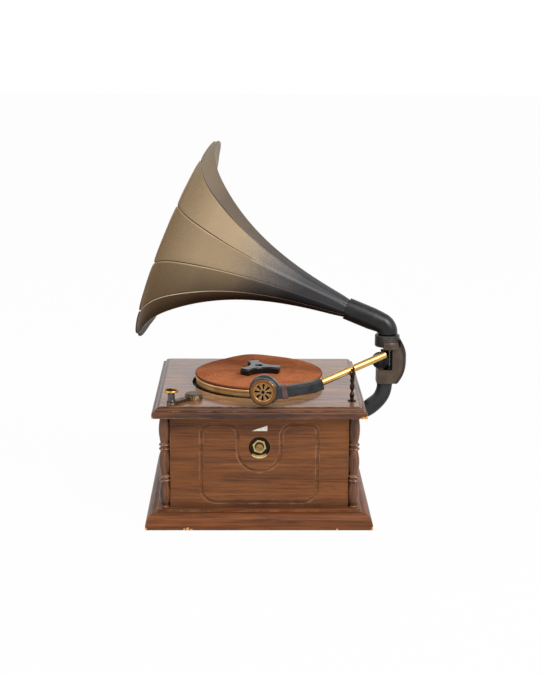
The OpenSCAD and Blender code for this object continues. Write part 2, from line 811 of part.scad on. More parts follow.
// Lever that switches the motor
module lever_arm() {
    z = top_z + lever_gap;
    color(bronze)
        translate([-lever_x, -lever_y, z])
            difference() {
                union() {
                    translate([0, 0, -1]) cylinder(r = lever_hub_r, h = lever_t + 2.2);
                    translate([0, 0, lever_t + 1.2])
                        cylinder(r1 = lever_hub_r, r2 = lever_hub_r - 0.7, h = 0.7);
                    rotate(lever_a) translate([0, -2.7, 0]) cube([lever_len, 5.4, lever_t]);
                    translate([lever_dx, lever_dy, 0]) cylinder(r = 3.6, h = lever_t);
                }
                translate([0, 0, -2]) cylinder(r = lever_shaft_r + 0.02, h = lever_t + 3);
                translate([lever_dx, lever_dy, -1]) cylinder(r = 1.5 + seat, h = lever_t + 2);
            }
}

module lever_knob() {
    z = top_z + lever_gap;
    h = knob_h - lever_gap;
    color(old_brass)
        translate([-lever_x + lever_dx, -lever_y + lever_dy, z])
            rotate_extrude()
                polygon(concat(
                    [[0, 0.3], [1.5, 0.3], [1.5, lever_t + 0.05], [3.5, lever_t + 0.05],
                     [3.5, lever_t + 0.6], [2.85, lever_t + 1.6], [2.75, h - 3.1], [knob_r - 0.6, h - 2.8]],
                    arc([knob_r - 0.6, h - 2.2], 0.6, 0.6, -90, 0, 3),
                    arc([0, h - 2.2], knob_r, 2.2, 12, 90, 6)));
}

module lever_shaft() {
    color(steel)
        translate([-lever_x, -lever_y, deck_z - 6])
            cylinder(r = lever_shaft_r, h = top_z + lever_gap + lever_t - 1 - deck_z + 6);
}

module power_switch() {
    color(black)
        difference() {
            union() {
                translate([-lever_x - switch_w / 2, -lever_y - switch_d / 2, deck_z - switch_h])
                    cube([switch_w, switch_d, switch_h]);
                for (y = [-switch_d / 4, switch_d / 4])
                    translate([-lever_x - 0.4, -lever_y + y - 1, deck_z - switch_h - tag_h + 1])
                        cube([0.8, 2, tag_h]);
            }
            translate([-lever_x, -lever_y, deck_z - 6.3]) cylinder(r = lever_shaft_r + run_gap, h = 7);
        }
}

// Turned post that the tube lies on, with a prong in front of it
module arm_rest_post() {
    d = unit(tube_a - tube_b);
    h = rest_tube_z - (tube_r + 0.32) / cos(asin(d[2])) - top_z;
    prong_r = 1.05;
    prong_y = -tube_r - 1.9;
    outline = concat(
        [[0, 0], [rest_r + 1.3, 0], [rest_r + 1.3, 0.8], [1.6, 1.2]],
        drum(0.11 * h, 0.31 * h, 1.4, 1, rest_r),
        [[0.95, 0.34 * h]],
        drum(0.37 * h, 0.63 * h, 0.95, 1.3, rest_r),
        drum(0.65 * h, 0.8 * h, 1.3, 1.35, rest_r - 0.1),
        [[1.35, 0.83 * h], [1.6, 0.88 * h], [rest_r + 0.5, 0.95 * h], [rest_r + 0.5, h + 0.8],
         [0, h + 0.8]]);
    color(bronze)
        translate([rest_x, rest_y, top_z]) {
            translate([0, 0, -3.6]) cylinder(r = rest_dowel_r, h = 3.7);
            difference() {
                rotate_extrude($fn = 24) polygon(outline);
                // the post's top slopes with the tube
                translate([0, 0, h]) rotate([0, 0, atan2(d[1], d[0])]) rotate([0, -asin(d[2]), 0])
                    translate([-6, -6, 0]) cube([12, 12, 4]);
            }
            translate([0.4, prong_y, h - 4.2]) cylinder(r1 = prong_r, r2 = 0.85, h = tube_r * 2.1 + 4.2);
            translate([-0.5, prong_y, h - 3.4]) cube([1.8, -prong_y, 1.8]);
        }
}

// Curved arm that carries the horn
module bracket_arm() {
    n = 20;
    power = 0.62;     // squareness of the section
    function ring(s) = let (c = (s[0] + s[1]) / 2, h = (s[1] - s[0]) / 2)
        [for (i = [0:n - 1]) let (a = 360 * i / n,
            u = sign(cos(a)) * pow(abs(cos(a)), power),
            v = sign(sin(a)) * pow(abs(sin(a)), power))
            [c[0] + h[0] * u, pivot_y + arm_t / 2 * v, c[1] + h[1] * u]];
    // stations between the given ones follow a smooth cubic
    function knot(i) = stations[max(0, min(len(stations) - 1, i))];
    function spline(i, t) = let (p0 = knot(i - 1), p1 = knot(i), p2 = knot(i + 1), p3 = knot(i + 2))
        [for (e = [0, 1]) 0.5 * (2 * p1[e] + (p2[e] - p0[e]) * t
            + (2 * p0[e] - 5 * p1[e] + 4 * p2[e] - p3[e]) * t * t
            + (3 * p1[e] - p0[e] - 3 * p2[e] + p3[e]) * t * t * t)];
    steps = [for (i = [0:len(stations) - 2], t = [0:0.25:0.75]) spline(i, t)];
    rings = concat([for (s = steps) ring(s)], [ring(stations[len(stations) - 1])]);
    m = len(rings);
    points = [for (r = rings) each r];
    function at(j, i) = j * n + i % n;
    faces = concat(
        [[for (i = [0:n - 1]) i]],
        [for (j = [0:m - 2], i = [0:n - 1]) each [[at(j, i), at(j + 1, i), at(j, i + 1)],
            [at(j, i + 1), at(j + 1, i), at(j + 1, i + 1)]]],
        [[for (i = [n - 1:-1:0]) at(m - 1, i)]]);
    color(black)
        difference() {
            union() {
                polyhedron(points, faces);
                translate([wall_o, pivot_y - screw_dy - 4, plate_low])
                    cube([3, 2 * screw_dy + 8, foot_high + 1 - plate_low]);
            }
            for (y = [-screw_dy, screw_dy])
                translate([wall_o - 1, pivot_y + y, screw_z]) rotate([0, 90, 0])
                    cylinder(r = screw_r + seat, h = 6);
        }
}

module bracket_screws() {
    color(steel)
        for (y = [-screw_dy, screw_dy])
            translate([wall_i - 2, pivot_y + y, screw_z]) rotate([0, 90, 0]) {
                cylinder(r = screw_r, h = wall_t + 5);
                translate([0, 0, wall_t + 5]) cylinder(r1 = 3.1, r2 = 2, h = 1.6);
            }
}

// Open C-shaped casting between the arm and the horn's collar; its top cups the collar
module bracket_head() {
    bulge = [pivot_x - 12.3, lift_h - 0.8];   // centre of the outer curve
    bulge_r = 28.6;
    back = bulge[0] + bulge_r;
    jaw_x = pivot_x - 3.1;
    top_a = acos((horn_x + collar_r + 0.35 - bulge[0]) / bulge_r);
    cup_r = collar_r + 0.95;
    outline = concat(
        [[head_x, split_z], [head_x + 15.8, split_z]],
        arc(bulge, bulge_r, bulge_r, -42.5, top_a, 14),
        [[horn_x + collar_r + 0.35, collar_z], [jaw_x, collar_z], [jaw_x, slot_high],
         [slot_x, slot_high], [slot_x, slot_low + 0.3], [slot_x - 0.3, slot_low]],
        arc([head_x + 1.6, slot_low - 1.6], 1.6, 1.6, 90, 180, 3));
    color(bronze)
        difference() {
            union() {
                intersection() {
                    rotate([90, 0, 0]) translate([0, 0, bracket_y - head_t / 2])
                        linear_extrude(head_t) polygon(outline);
                    translate([0, pivot_y, split_z - 1]) linear_extrude(60)
                        polygon(concat([[head_x - 8, -head_t / 2]],
                            arc([back - head_t / 2, 0], head_t / 2, head_t / 2, -90, 90, 10),
                            [[head_x - 8, head_t / 2]]));
                }
                intersection() {
                    translate([horn_x, pivot_y, slot_high]) rotate_extrude()
                        polygon([[0, 0], [cup_r - 0.6, 0], [cup_r, 0.6], [cup_r, jaw_t + 2.8],
                            [collar_r + 0.3, jaw_t + 4.2], [0, jaw_t + 4.2]]);
                    translate([jaw_x, pivot_y - 20, slot_high - 1]) cube([30, 40, 12]);
                }
            }
            translate([horn_x, pivot_y, collar_z]) cylinder(r = collar_r + 0.05, h = 20);
            translate([pivot_x, pivot_y, slot_low - 6]) cylinder(r = pin_r + 0.02, h = 40);
        }
}

module horn_collar() {
    h = collar_h - 0.1;
    function line(z) = [[collar_r, z], [collar_r - 0.3, z + 0.2], [collar_r - 0.3, z + 0.5],
        [collar_r, z + 0.7]];
    color(bronze)
        translate([horn_x, pivot_y, collar_z + 0.05])
            rotate_extrude()
                polygon(concat(
                    [[spigot_r + run_gap, 1.2], [0, 1.2], [0, 0], [collar_r - 0.4, 0], [collar_r, 0.4]],
                    line(h * 0.55), line(h * 0.76),
                    [[collar_r, h - 0.6], [collar_r - 0.6, h], [spigot_r + run_gap, h]]));
}

// Everything in the horn's own frame: Z up its upright axis, X to the right of the turned plane
module horn_plane() {
    translate([horn_x, pivot_y, 0]) rotate([0, 0, -horn_turn]) children();
}

module horn_axis() {
    horn_plane() translate([0, 0, axis_z]) rotate([0, -bend_turn, 0]) children();
}

module elbow_bend(r) {
    horn_plane() translate([-bend_r, 0, bend_z]) rotate([90, 0, 0])
        rotate_extrude(angle = bend_turn) translate([bend_r, 0]) circle(r = r);
}

module horn_elbow() {
    color(black)
        difference() {
            union() {
                horn_plane() {
                    translate([0, 0, collar_z + 1.6]) cylinder(r = spigot_r, h = collar_h);
                    translate([0, 0, collar_top + 0.3])
                        cylinder(r1 = elbow_r, r2 = bend_tube_r - 0.1, h = bend_z - collar_top);
                }
                elbow_bend(bend_tube_r);
                horn_axis() translate([0, 0, sleeve_from - 0.5]) {
                    cylinder(r1 = bend_tube_r + 0.08, r2 = sleeve_r, h = 8.5);
                    translate([0, 0, 8.4]) cylinder(r = sleeve_r, h = sleeve_to - sleeve_from - 7.9);
                }
            }
            horn_axis() translate([0, 0, sleeve_to - plug_depth - 0.3])
                cylinder(r = throat_r + seat, h = plug_depth + 2);
            horn_axis() translate([0, 0, sleeve_from + 3]) cylinder(r = throat_r - horn_wall, h = sleeve_to);
        }
}

function bell_s(r) = sleeve_to + flare_len * ln(r / throat_r) - lip_curl * pow(max(0, r - lip_start), 2);
function bell_slope(r) = flare_len / r - 2 * lip_curl * max(0, r - lip_start);
function petal(r, a) = 1 - petal_depth * pow((r - throat_r) / (mouth_r - throat_r), 0.75)
    * (1 - pow(abs(sin(petals * (a - seam_phase) / 2)), 0.9));

// The feature with the most shape in it: a petalled bell whose radius grows with the log of its length
module horn() {
    n = petals * petal_steps;
    radii = [for (i = [0:horn_rings]) throat_r * pow(mouth_r / throat_r, i / horn_rings)];
    function outer(r, a) = [r * petal(r, a) * cos(a), r * petal(r, a) * sin(a), bell_s(r)];
    function inner(r, a) =
        let (g = bell_slope(r), k = horn_wall / sqrt(1 + g * g), q = (r - k * g) * petal(r, a))
        [q * cos(a), q * sin(a), bell_s(r) + k];
    function circle_at(r, z) = [for (i = [0:n - 1]) [r * cos(360 * i / n), r * sin(360 * i / n), z]];
    outside = concat([circle_at(throat_r, sleeve_to - plug_depth)],
        [for (r = radii) [for (i = [0:n - 1]) outer(r, 360 * i / n)]]);
    inside = concat([circle_at(throat_r - horn_wall, sleeve_to - plug_depth)],
        [for (r = radii) [for (i = [0:n - 1]) inner(r, 360 * i / n)]]);
    m = len(outside);
    k = m * n;
    function at(j, i) = j * n + i % n;
    faces = concat(
        [for (j = [0:m - 2], i = [0:n - 1]) each [[at(j, i), at(j + 1, i), at(j + 1, i + 1)],
            [at(j, i), at(j + 1, i + 1), at(j, i + 1)]]],
        [for (j = [0:m - 2], i = [0:n - 1]) each [[k + at(j, i), k + at(j + 1, i + 1), k + at(j + 1, i)],
            [k + at(j, i), k + at(j, i + 1), k + at(j + 1, i + 1)]]],
        [for (i = [0:n - 1]) each [[at(m - 1, i), k + at(m - 1, i), k + at(m - 1, i + 1)],
            [at(m - 1, i), k + at(m - 1, i + 1), at(m - 1, i + 1)]]],
        [for (i = [0:n - 1]) each [[at(0, i), at(0, i + 1), k + at(0, i + 1)],
            [at(0, i), k + at(0, i + 1), k + at(0, i)]]]);
    color([0.45, 0.38, 0.27])
        horn_axis() polyhedron([for (r = concat(outside, inside)) each r], faces);
}

// Arm pivots
module pivot_pin() {
    color(steel)
        translate([pivot_x, pivot_y, slot_low - 5.5])
            cylinder(r = pin_r, h = slot_high - slot_low + jaw_t + 5.4);
}

module arm_swivel() {
    h = slot_high - slot_low - 0.6;
    color(black)
        difference() {
            union() {
                translate([pivot_x, pivot_y, slot_low + 0.3]) cylinder(r = post_r, h = h);
                translate([hub_x + 1.4, pivot_y - 2, lift_h - 3.4]) cube([pivot_x - hub_x - 1.4, 4, 10.2]);
                translate([hub_x, pivot_y - hub_back + 0.3, lift_h]) rotate([-90, 0, 0])
                    cylinder(r = stub_r + 1.2, h = hub_back + 1.7);
                translate([hub_x, hub_y + 0.7, lift_h]) rotate([-90, 0, 0])
                    cylinder(r = stub_r, h = hub_back + hub_t - 1);
            }
            translate([pivot_x, pivot_y, slot_low - 1]) cylinder(r = pin_r + run_gap, h = h + 4);
        }
}

module arm_hub() {
    d = unit(tube_b - tube_a);
    color(black)
        difference() {
            union() {
                translate([hub_x, hub_y, lift_h]) rotate([-90, 0, 0]) cylinder(r = hub_r, h = hub_t);
                hull() {
                    translate([hub_x, hub_y, lift_h]) rotate([-90, 0, 0])
                        linear_extrude(0.5) translate([0.2, -4.2]) square([6, 2.6], center = true);
                    tube_between(tube_a + d * 1.5, tube_a + d * 8, 1.8);
                }
            }
            translate([hub_x, hub_y - 0.5, lift_h]) rotate([-90, 0, 0])
                cylinder(r = stub_r + run_gap, h = hub_t + 1);
            tube_between(tube_a - d * 3, tube_a + d * 12, tube_r + seat);
        }
}

// Slotted screw that keeps the disc on its stub, set in the disc's face
module lift_nut() {
    color(steel)
        translate([hub_x, hub_y + 0.05, lift_h]) rotate([-90, 0, 0]) cylinder(r = stub_r - 0.3, h = 0.6);
}

// Tone arm
module tone_tube() {
    d = unit(tube_b - tube_a);
    color(brass)
        difference() {
            tube_between(tube_a, tube_b, tube_r);
            tube_between(tube_a + d * 2, tube_b + d * 2, tube_r - tube_wall);
        }
}

// Square bar with chamfered upper edges, run through stations of centre, height, depth, turn and slope
module bar(stations_3d) {
    n = 8;
    function section(s) = let (p = s[0], h = s[1] / 2, d = s[2] / 2, c = 1.4, b = 0.5,
        side = [-sin(s[3]), cos(s[3]), 0],
        up = [-sin(s[4]) * cos(s[3]), -sin(s[4]) * sin(s[3]), cos(s[4])])
        [for (q = [[-d + b, -h], [d - b, -h], [d, -h + b], [d, h - c], [d - c, h], [-d + c, h], [-d, h - c],
            [-d, -h + b]]) p + q[0] * side + q[1] * up];
    points = [for (s = stations_3d) each section(s)];
    m = len(stations_3d);
    faces = concat(
        [[for (i = [0:n - 1]) i]],
        [for (j = [0:m - 2], i = [0:n - 1]) each [[j * n + i, (j + 1) * n + i, j * n + (i + 1) % n],
            [j * n + (i + 1) % n, (j + 1) * n + i, (j + 1) * n + (i + 1) % n]]],
        [[for (i = [n - 1:-1:0]) (m - 1) * n + i]]);
    polyhedron(points, faces);
}

// Cast head section; its round spigot fits in the tube's end
module arm_section() {
    d = unit(tube_a - tube_b);
    yaw = atan2(d[1], d[0]);
    dip = asin(d[2]);
    up = [-sin(dip) * cos(yaw), -sin(dip) * sin(yaw), cos(dip)];
    color(black) {
        bar([[band_p, arm_h + 0.1, arm_d, arm_yaw, arm_dip],
            [joint_p, arm_h, arm_d + 0.4, 12, 13],
            [tube_b - d * 0.05 - up * 0.9, arm_h - 0.2, arm_d + 0.4, yaw, dip]]);
        tube_between(tube_b - d * 1, tube_b + d * 6, tube_r - tube_wall - 0.03);
    }
}

module arm_band() {
    h = arm_h + 2.2;
    color([0.28, 0.19, 0.17])
        bar([[neck_p, h, arm_d + 1.2, arm_yaw, arm_dip],
            [band_p - [0.05, 0, 0], h, arm_d + 1.2, arm_yaw, arm_dip]]);
}

module at_case() {
    translate(case_p) rotate([90, 0, 0]) rotate([0, -case_turn, 0]) children();
}

// Black case: a wide back rim, a groove and the narrower ring that holds the face
module reproducer_case() {
    d = case_d;
    ring_r = face_r + 0.9;
    color(black)
        difference() {
            union() {
                at_case() translate([0, 0, -d / 2]) rotate_extrude($fn = 64)
                    polygon(concat([[0, 0], [case_r - 1.2, 0]],
                        arc([case_r - 1, 1], 1, 1, -75, 0, 3),
                        arc([case_r - 0.8, 3], 0.8, 0.8, 0, 90, 3),
                        [[ring_r - 0.9, 4.4], [ring_r - 0.9, 5.2]],
                        arc([ring_r - 0.6, 5.8], 0.6, 0.6, -75, 0, 3),
                        arc([ring_r - 0.7, d - 0.7], 0.7, 0.7, 0, 90, 3),
                        [[0, d]]));
                bar([[case_p + [case_r * 0.55, 1.2, -2.4], arm_h + 0.2, arm_d - 0.4, 0, 0],
                    [neck_p - [0.05, 0, 0], arm_h + 1, arm_d, arm_yaw, arm_dip]]);
            }
            at_case() translate([0, 0, d / 2 - 2.2]) cylinder(r = face_r + seat, h = 4, $fn = 64);
            at_case() translate([0, 0, d / 2 - 5]) cylinder(r = face_r - 1.4, h = 4, $fn = 64);
        }
}

module drop_hole(h) {
    linear_extrude(h)
        polygon(concat([[2.5, -0.6]], arc([5.9, 0], 1, 1, -100, 100, 10), [[2.5, 0.6]]));
}

// Pierced face: flat rim, lower field with drop-shaped holes and raised spokes between them
module reproducer_face() {
    color(old_brass)
        at_case() translate([0, 0, case_d / 2 - 2.15])
            difference() {
                union() {
                    rotate_extrude($fn = 64)
                        polygon(concat([[0, 0], [face_r, 0]],
                            arc([face_r - 0.6, 1.7], 0.6, 0.6, 0, 90, 3),
                            [[7.5, 2.3], [7.2, 2.05], [2.3, 2.05], [2.2, 2.3], [0, 2.3]]));
                    for (i = [0:face_holes - 1]) rotate(360 * (i + 0.5) / face_holes - 4)
                        translate([2, -0.3, 1]) cube([5.4, 0.6, 1.25]);
                }
                for (i = [0:face_holes - 1]) rotate(360 * i / face_holes - 4)
                    translate([0, 0, -1]) drop_hole(5);
                translate([0, 0, -1]) cylinder(r = 1.4, h = 5, $fn = 32);
            }
}

module diaphragm() {
    color(steel)
        at_case() translate([0, 0, case_d / 2 - 4.9]) cylinder(r = face_r - 1.7, h = 0.5);
}

// Works inside the cabinet
module loudspeaker() {
    color(steel)
        translate([0, wall_i, speaker_z]) rotate([90, 0, 0])
            difference() {
                union() {
                    cylinder(r = speaker_r, h = 1.5);
                    translate([0, 0, 1.5])
                        cylinder(r1 = speaker_r - speaker_rim, r2 = magnet_r - 1, h = cone_h);
                    translate([0, 0, 1.5 + cone_h]) cylinder(r = magnet_r, h = magnet_h);
                }
                translate([0, 0, -1]) cylinder(r = speaker_r - speaker_rim - 1.5, h = 2);
                translate([0, 0, 0.99])
                    cylinder(r1 = speaker_r - speaker_rim - 1.5, r2 = magnet_r - 6, h = cone_h - 1);
                for (a = [45:90:315]) rotate(a) translate([speaker_r - 2, 0, -1]) cylinder(r = 1.3, h = 4);
            }
}

module speaker_screws() {
    color(steel)
        translate([0, wall_i, speaker_z]) rotate([90, 0, 0])
            for (a = [45:90:315]) rotate(a) translate([speaker_r - 2, 0, 0]) {
                cylinder(r = 1.15, h = 1.6);
                translate([0, 0, 1.55]) cylinder(r = 2, h = 1.2);
            }
}

module circuit_board() {
    color([0.12, 0.30, 0.16])
        translate([-44, -52, bottom_t]) {
            for (x = [board_edge, board_w - board_edge], y = [board_edge, board_d - board_edge])
                translate([x, y, 0]) cylinder(r = 2.2, h = board_leg_h);
            translate([0, 0, board_leg_h]) cube([board_w, board_d, board_t]);
            translate([0, 0, board_leg_h + board_t]) {
                translate([10, 9, 0]) cylinder(r = 4, h = 11);
                translate([20, 9, 0]) cylinder(r = 3.2, h = 9);
                translate([14, 17, 0]) cube([16, 6.5, 3.4]);
                translate([33, 6, 0]) cube([1.6, 12, 14]);
            }
        }
}

// Open tray for four small cells, screwed to the bottom panel
module battery_box() {
    wall = cell_wall;
    w = 4 * cell_pitch + 2 * wall;
    l = cell_l + 5;
    h = 13;
    color(black)
        translate([battery_x, battery_y, bottom_t])
            difference() {
                cube([w, l, h]);
                translate([wall, wall, 1.6]) cube([w - 2 * wall, l - 2 * wall, h]);
            }
}

module battery_cells() {
    color([0.55, 0.42, 0.20])
        for (i = [0:3])
            translate([battery_x + cell_wall + cell_pitch * (i + 0.5), battery_y + 2.2,
                bottom_t + 1.8 + cell_r])
                rotate([-90, 0, 0]) {
                    cylinder(r = cell_r, h = cell_l - 1);
                    translate([0, 0, cell_l - 1]) cylinder(r = 2.6, h = 1);
                }
}

base_moulding();
bottom_panel();
bottom_screws();
front_wall();
back_wall();
left_wall();
right_wall();
corner_columns();
corner_blocks();
top_board();
volume_pot();
volume_washer();
volume_nut();
volume_shaft();
spindle_bush();
spindle();
platter();
felt_mat();
record_clamp();
drive_pulley();
spindle_clip();
drive_belt();
motor_bracket();
drive_motor();
motor_shaft();
motor_pulley();
lever_arm();
lever_knob();
lever_shaft();
power_switch();
arm_rest_post();
bracket_arm();
bracket_screws();
bracket_head();
horn_collar();
horn_elbow();
horn();
pivot_pin();
arm_swivel();
arm_hub();
lift_nut();
tone_tube();
arm_section();
arm_band();
reproducer_case();
reproducer_face();
diaphragm();
loudspeaker();
speaker_screws();
circuit_board();
battery_box();
battery_cells();
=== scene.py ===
"""Looks of a small wooden record player in the form of a horn gramophone, built around its frame."""

import json
from math import atan2, cos, exp, log, pi, radians, sin, sqrt, tan

import bmesh
import bpy
from mathutils import Matrix, Vector


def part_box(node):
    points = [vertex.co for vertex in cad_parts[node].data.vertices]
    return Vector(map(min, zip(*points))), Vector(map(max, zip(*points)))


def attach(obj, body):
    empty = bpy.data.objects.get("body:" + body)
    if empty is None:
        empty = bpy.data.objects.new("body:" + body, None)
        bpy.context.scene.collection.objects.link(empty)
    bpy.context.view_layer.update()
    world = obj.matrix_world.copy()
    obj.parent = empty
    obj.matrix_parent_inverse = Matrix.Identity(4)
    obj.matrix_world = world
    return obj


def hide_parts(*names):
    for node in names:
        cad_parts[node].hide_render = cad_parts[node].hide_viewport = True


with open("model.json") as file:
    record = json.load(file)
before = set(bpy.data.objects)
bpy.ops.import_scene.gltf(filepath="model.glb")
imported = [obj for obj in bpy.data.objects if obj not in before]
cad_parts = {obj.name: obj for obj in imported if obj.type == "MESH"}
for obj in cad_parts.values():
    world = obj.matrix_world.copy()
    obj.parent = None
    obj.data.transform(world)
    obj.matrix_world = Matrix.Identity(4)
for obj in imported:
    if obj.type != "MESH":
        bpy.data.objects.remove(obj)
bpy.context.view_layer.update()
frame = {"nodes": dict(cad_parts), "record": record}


# Camera, lamps and floor
# The view is the photograph's: a long lens a good metre in front, looking 13 degrees down.
# The eye, mirrors and glass see a white room and floor, and the lamps stay plain.
camera_place = Vector((-0.010305, -1.14359, 0.399227))
camera_pitch = radians(12.979)
camera_yaw = radians(0.9717)
camera_roll = radians(0.3596)
camera_lens = 75.43
film_height = 36
world_strength = 0.38
floor_reach = 6
floor_grey = (0.60, 0.60, 0.60, 1)
floor_white_share = 0.975

camera_data = bpy.data.cameras.new("camera")
camera_data.sensor_fit = "VERTICAL"
camera_data.sensor_height = film_height
camera_data.lens = camera_lens
camera = bpy.data.objects.new("camera", camera_data)
camera.matrix_world = (
    Matrix.Translation(camera_place)
    @ Matrix.Rotation(-camera_yaw, 4, "Z")
    @ Matrix.Rotation(pi / 2 - camera_pitch, 4, "X")
    @ Matrix.Rotation(camera_roll, 4, "Z")
)
bpy.context.scene.collection.objects.link(camera)
bpy.context.scene.camera = camera
bpy.context.scene.view_settings.view_transform = "Standard"


def softbox(name, place, aim, size, watts):
    """A rectangular lamp that faces the point it aims at."""
    lamp_data = bpy.data.lights.new(name, "AREA")
    lamp_data.shape = "RECTANGLE"
    lamp_data.size, lamp_data.size_y = size
    lamp_data.energy = watts
    lamp = bpy.data.objects.new(name, lamp_data)
    turn = (Vector(aim) - Vector(place)).to_track_quat("-Z", "Y")
    lamp.matrix_world = Matrix.Translation(place) @ turn.to_matrix().to_4x4()
    bpy.context.scene.collection.objects.link(lamp)


softbox("key_softbox", (1.25, -1.10, 1.35), (0, 0, 0.15), (0.95, 0.95), 34)
softbox("fill_softbox", (-1.45, -1.05, 1.25), (0, 0, 0.12), (1.0, 1.0), 11)
softbox("top_softbox", (0.35, -0.80, 1.55), (0, 0, 0.15), (1.0, 0.8), 6)


def emit_to_eye(tree, plain, strength):
    """A mixer whose second input only the eye, mirrors and glass see; plain lights the object."""
    path = tree.nodes.new("ShaderNodeLightPath")
    seen = path.outputs["Is Camera Ray"]
    for ray in ("Is Glossy Ray", "Is Transmission Ray"):
        either = tree.nodes.new("ShaderNodeMath")
        either.operation = "MAXIMUM"
        tree.links.new(seen, either.inputs[0])
        tree.links.new(path.outputs[ray], either.inputs[1])
        seen = either.outputs[0]
    share = tree.nodes.new("ShaderNodeMath")
    share.operation = "MULTIPLY"
    share.inputs[1].default_value = strength
    tree.links.new(seen, share.inputs[0])
    mixed = tree.nodes.new("ShaderNodeMixShader")
    tree.links.new(share.outputs[0], mixed.inputs[0])
    tree.links.new(plain, mixed.inputs[1])
    return mixed


world = bpy.data.worlds.new("studio")
world.use_nodes = True
bpy.context.scene.world = world
room = world.node_tree
room_light = room.nodes["Background"]
room_light.inputs["Color"].default_value = (1, 1, 1, 1)
room_light.inputs["Strength"].default_value = world_strength
white_wall = room.nodes.new("ShaderNodeBackground")
white_wall.inputs["Color"].default_value = (1, 1, 1, 1)
room_mix = emit_to_eye(room, room_light.outputs[0], 1.0)
room.links.new(white_wall.outputs[0], room_mix.inputs[2])
room.links.new(room_mix.outputs[0], room.nodes["World Output"].inputs["Surface"])

floor_bm = bmesh.new()
bmesh.ops.create_grid(floor_bm, x_segments=1, y_segments=1, size=floor_reach)
floor_mesh = bpy.data.meshes.new("floor")
floor_bm.to_mesh(floor_mesh)
floor_bm.free()
floor = bpy.data.objects.new("floor", floor_mesh)
bpy.context.scene.collection.objects.link(floor)
floor_white = bpy.data.materials.new("floor_white")
floor_white.use_nodes = True
floor_tree = floor_white.node_tree
floor_shader = floor_tree.nodes["Principled BSDF"]
floor_shader.inputs["Base Color"].default_value = floor_grey
floor_shader.inputs["Roughness"].default_value = 0.9
floor_glow = floor_tree.nodes.new("ShaderNodeEmission")
floor_mix = emit_to_eye(floor_tree, floor_shader.outputs[0], floor_white_share)
floor_tree.links.new(floor_glow.outputs[0], floor_mix.inputs[2])
floor_tree.links.new(floor_mix.outputs[0], floor_tree.nodes["Material Output"].inputs["Surface"])
floor_mesh.materials.append(floor_white)


# Base moulding
# A mitred frame of stained oak with a rounded slope, glued under the walls.
# Its arrises are worn to bare wood here and there, most along the table.
def srgb(red, green, blue):
    """A colour as the eye names it, from 0 to 255, in the renderer's own linear light."""
    return tuple(
        (c / 3294.6 if c <= 10.31 else ((c / 255 + 0.055) / 1.055) ** 2.4) for c in (red, green, blue)
    ) + (1,)


class Finish:
    """One material while it is mixed: each call adds a step and gives back what comes out of it."""

    def __init__(self, name, **sockets):
        self.material = bpy.data.materials.new(name)
        self.material.use_nodes = True
        self.tree = self.material.node_tree
        self.shader = self.tree.nodes["Principled BSDF"]
        self.place = self.tree.nodes.new("ShaderNodeTexCoord").outputs["Object"]
        for socket, value in sockets.items():
            self.shader.inputs[socket.replace("_", " ")].default_value = value

    def add(self, kind, wires, out=0, **settings):
        node = self.tree.nodes.new("ShaderNode" + kind)
        for key, value in settings.items():
            setattr(node, key, value)
        for socket, value in wires.items():
            if isinstance(value, bpy.types.NodeSocket):
                self.tree.links.new(value, node.inputs[socket])
            else:
                node.inputs[socket].default_value = value
        return node.outputs[out]

    def wire(self, socket, value):
        self.tree.links.new(value, self.shader.inputs[socket])

    def math(self, operation, *values):
        return self.add("Math", dict(enumerate(values)), operation=operation)

    def times(self, first, second):
        return self.math("MULTIPLY", first, second)

    def noise(self, place, scale, detail=3.0, roughness=0.55, distortion=0.0):
        wires = {"Vector": place, "Scale": scale, "Detail": detail}
        wires |= {"Roughness": roughness, "Distortion": distortion}
        return self.add("TexNoise", wires)

    def squeeze(self, place, scale, location=(0, 0, 0)):
        return self.add("Mapping", {"Vector": place, "Scale": scale, "Location": location})

    def split(self, place):
        """X, Y and Z of a place."""
        return tuple(self.add("SeparateXYZ", {"Vector": place}).node.outputs)

    def distance(self, place, point):
        return self.add("VectorMath", {0: place, 1: point}, out=1, operation="DISTANCE")

    def fade(self, value, low, high, to_low=0.0, to_high=1.0):
        """Value, read from low to high, as a share from to_low to to_high."""
        wires = {"Value": value, "From Min": low, "From Max": high, "To Min": to_low, "To Max": to_high}
        return self.add("MapRange", wires)

    def tint(self, share, first, second, blend="MIX"):
        """First colour, or the second where share is 1."""
        wires = {0: share, 6: first, 7: second}
        return self.add("Mix", wires, out=2, data_type="RGBA", blend_type=blend)

    def wash(self, mask, share, colour, paint):
        """Colour, with paint over it where the mask is 1, as strongly as share says."""
        return self.tint(self.times(mask, share), colour, paint)

    def worn_edge(self, radius):
        """1 on an arris, 0 on a flat."""
        rounded = self.add("Bevel", {"Radius": radius}, samples=6)
        true = self.add("NewGeometry", {}, out=1)
        same = self.add("VectorMath", {0: rounded, 1: true}, out=1, operation="DOT_PRODUCT")
        return self.fade(same, 0.995, 0.93)

    def rubbed_edge(self, radius, patches, low, high):
        """1 on an arris, but only in the patches that were rubbed."""
        return self.times(self.worn_edge(radius), self.fade(patches, low, high))

    def relief(self, height, distance, strength):
        """Height as small bumps, over whatever relief was laid before."""
        before = self.shader.inputs["Normal"].links
        wires = {"Height": height, "Distance": distance, "Strength": strength}
        if before:
            wires["Normal"] = before[0].from_socket
        self.wire("Normal", self.add("Bump", wires))


def link_piece(name, bm, material, body):
    """A finished mesh becomes a piece that rides on a body, smooth but for its sharp arrises."""
    mesh = bpy.data.meshes.new(name)
    bm.to_mesh(mesh)
    bm.free()
    for face in mesh.polygons:
        face.use_smooth = True
    mesh.set_sharp_from_angle(angle=radians(38))
    piece = bpy.data.objects.new(name, mesh)
    bpy.context.scene.collection.objects.link(piece)
    mesh.materials.append(material)
    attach(piece, body)
    return piece


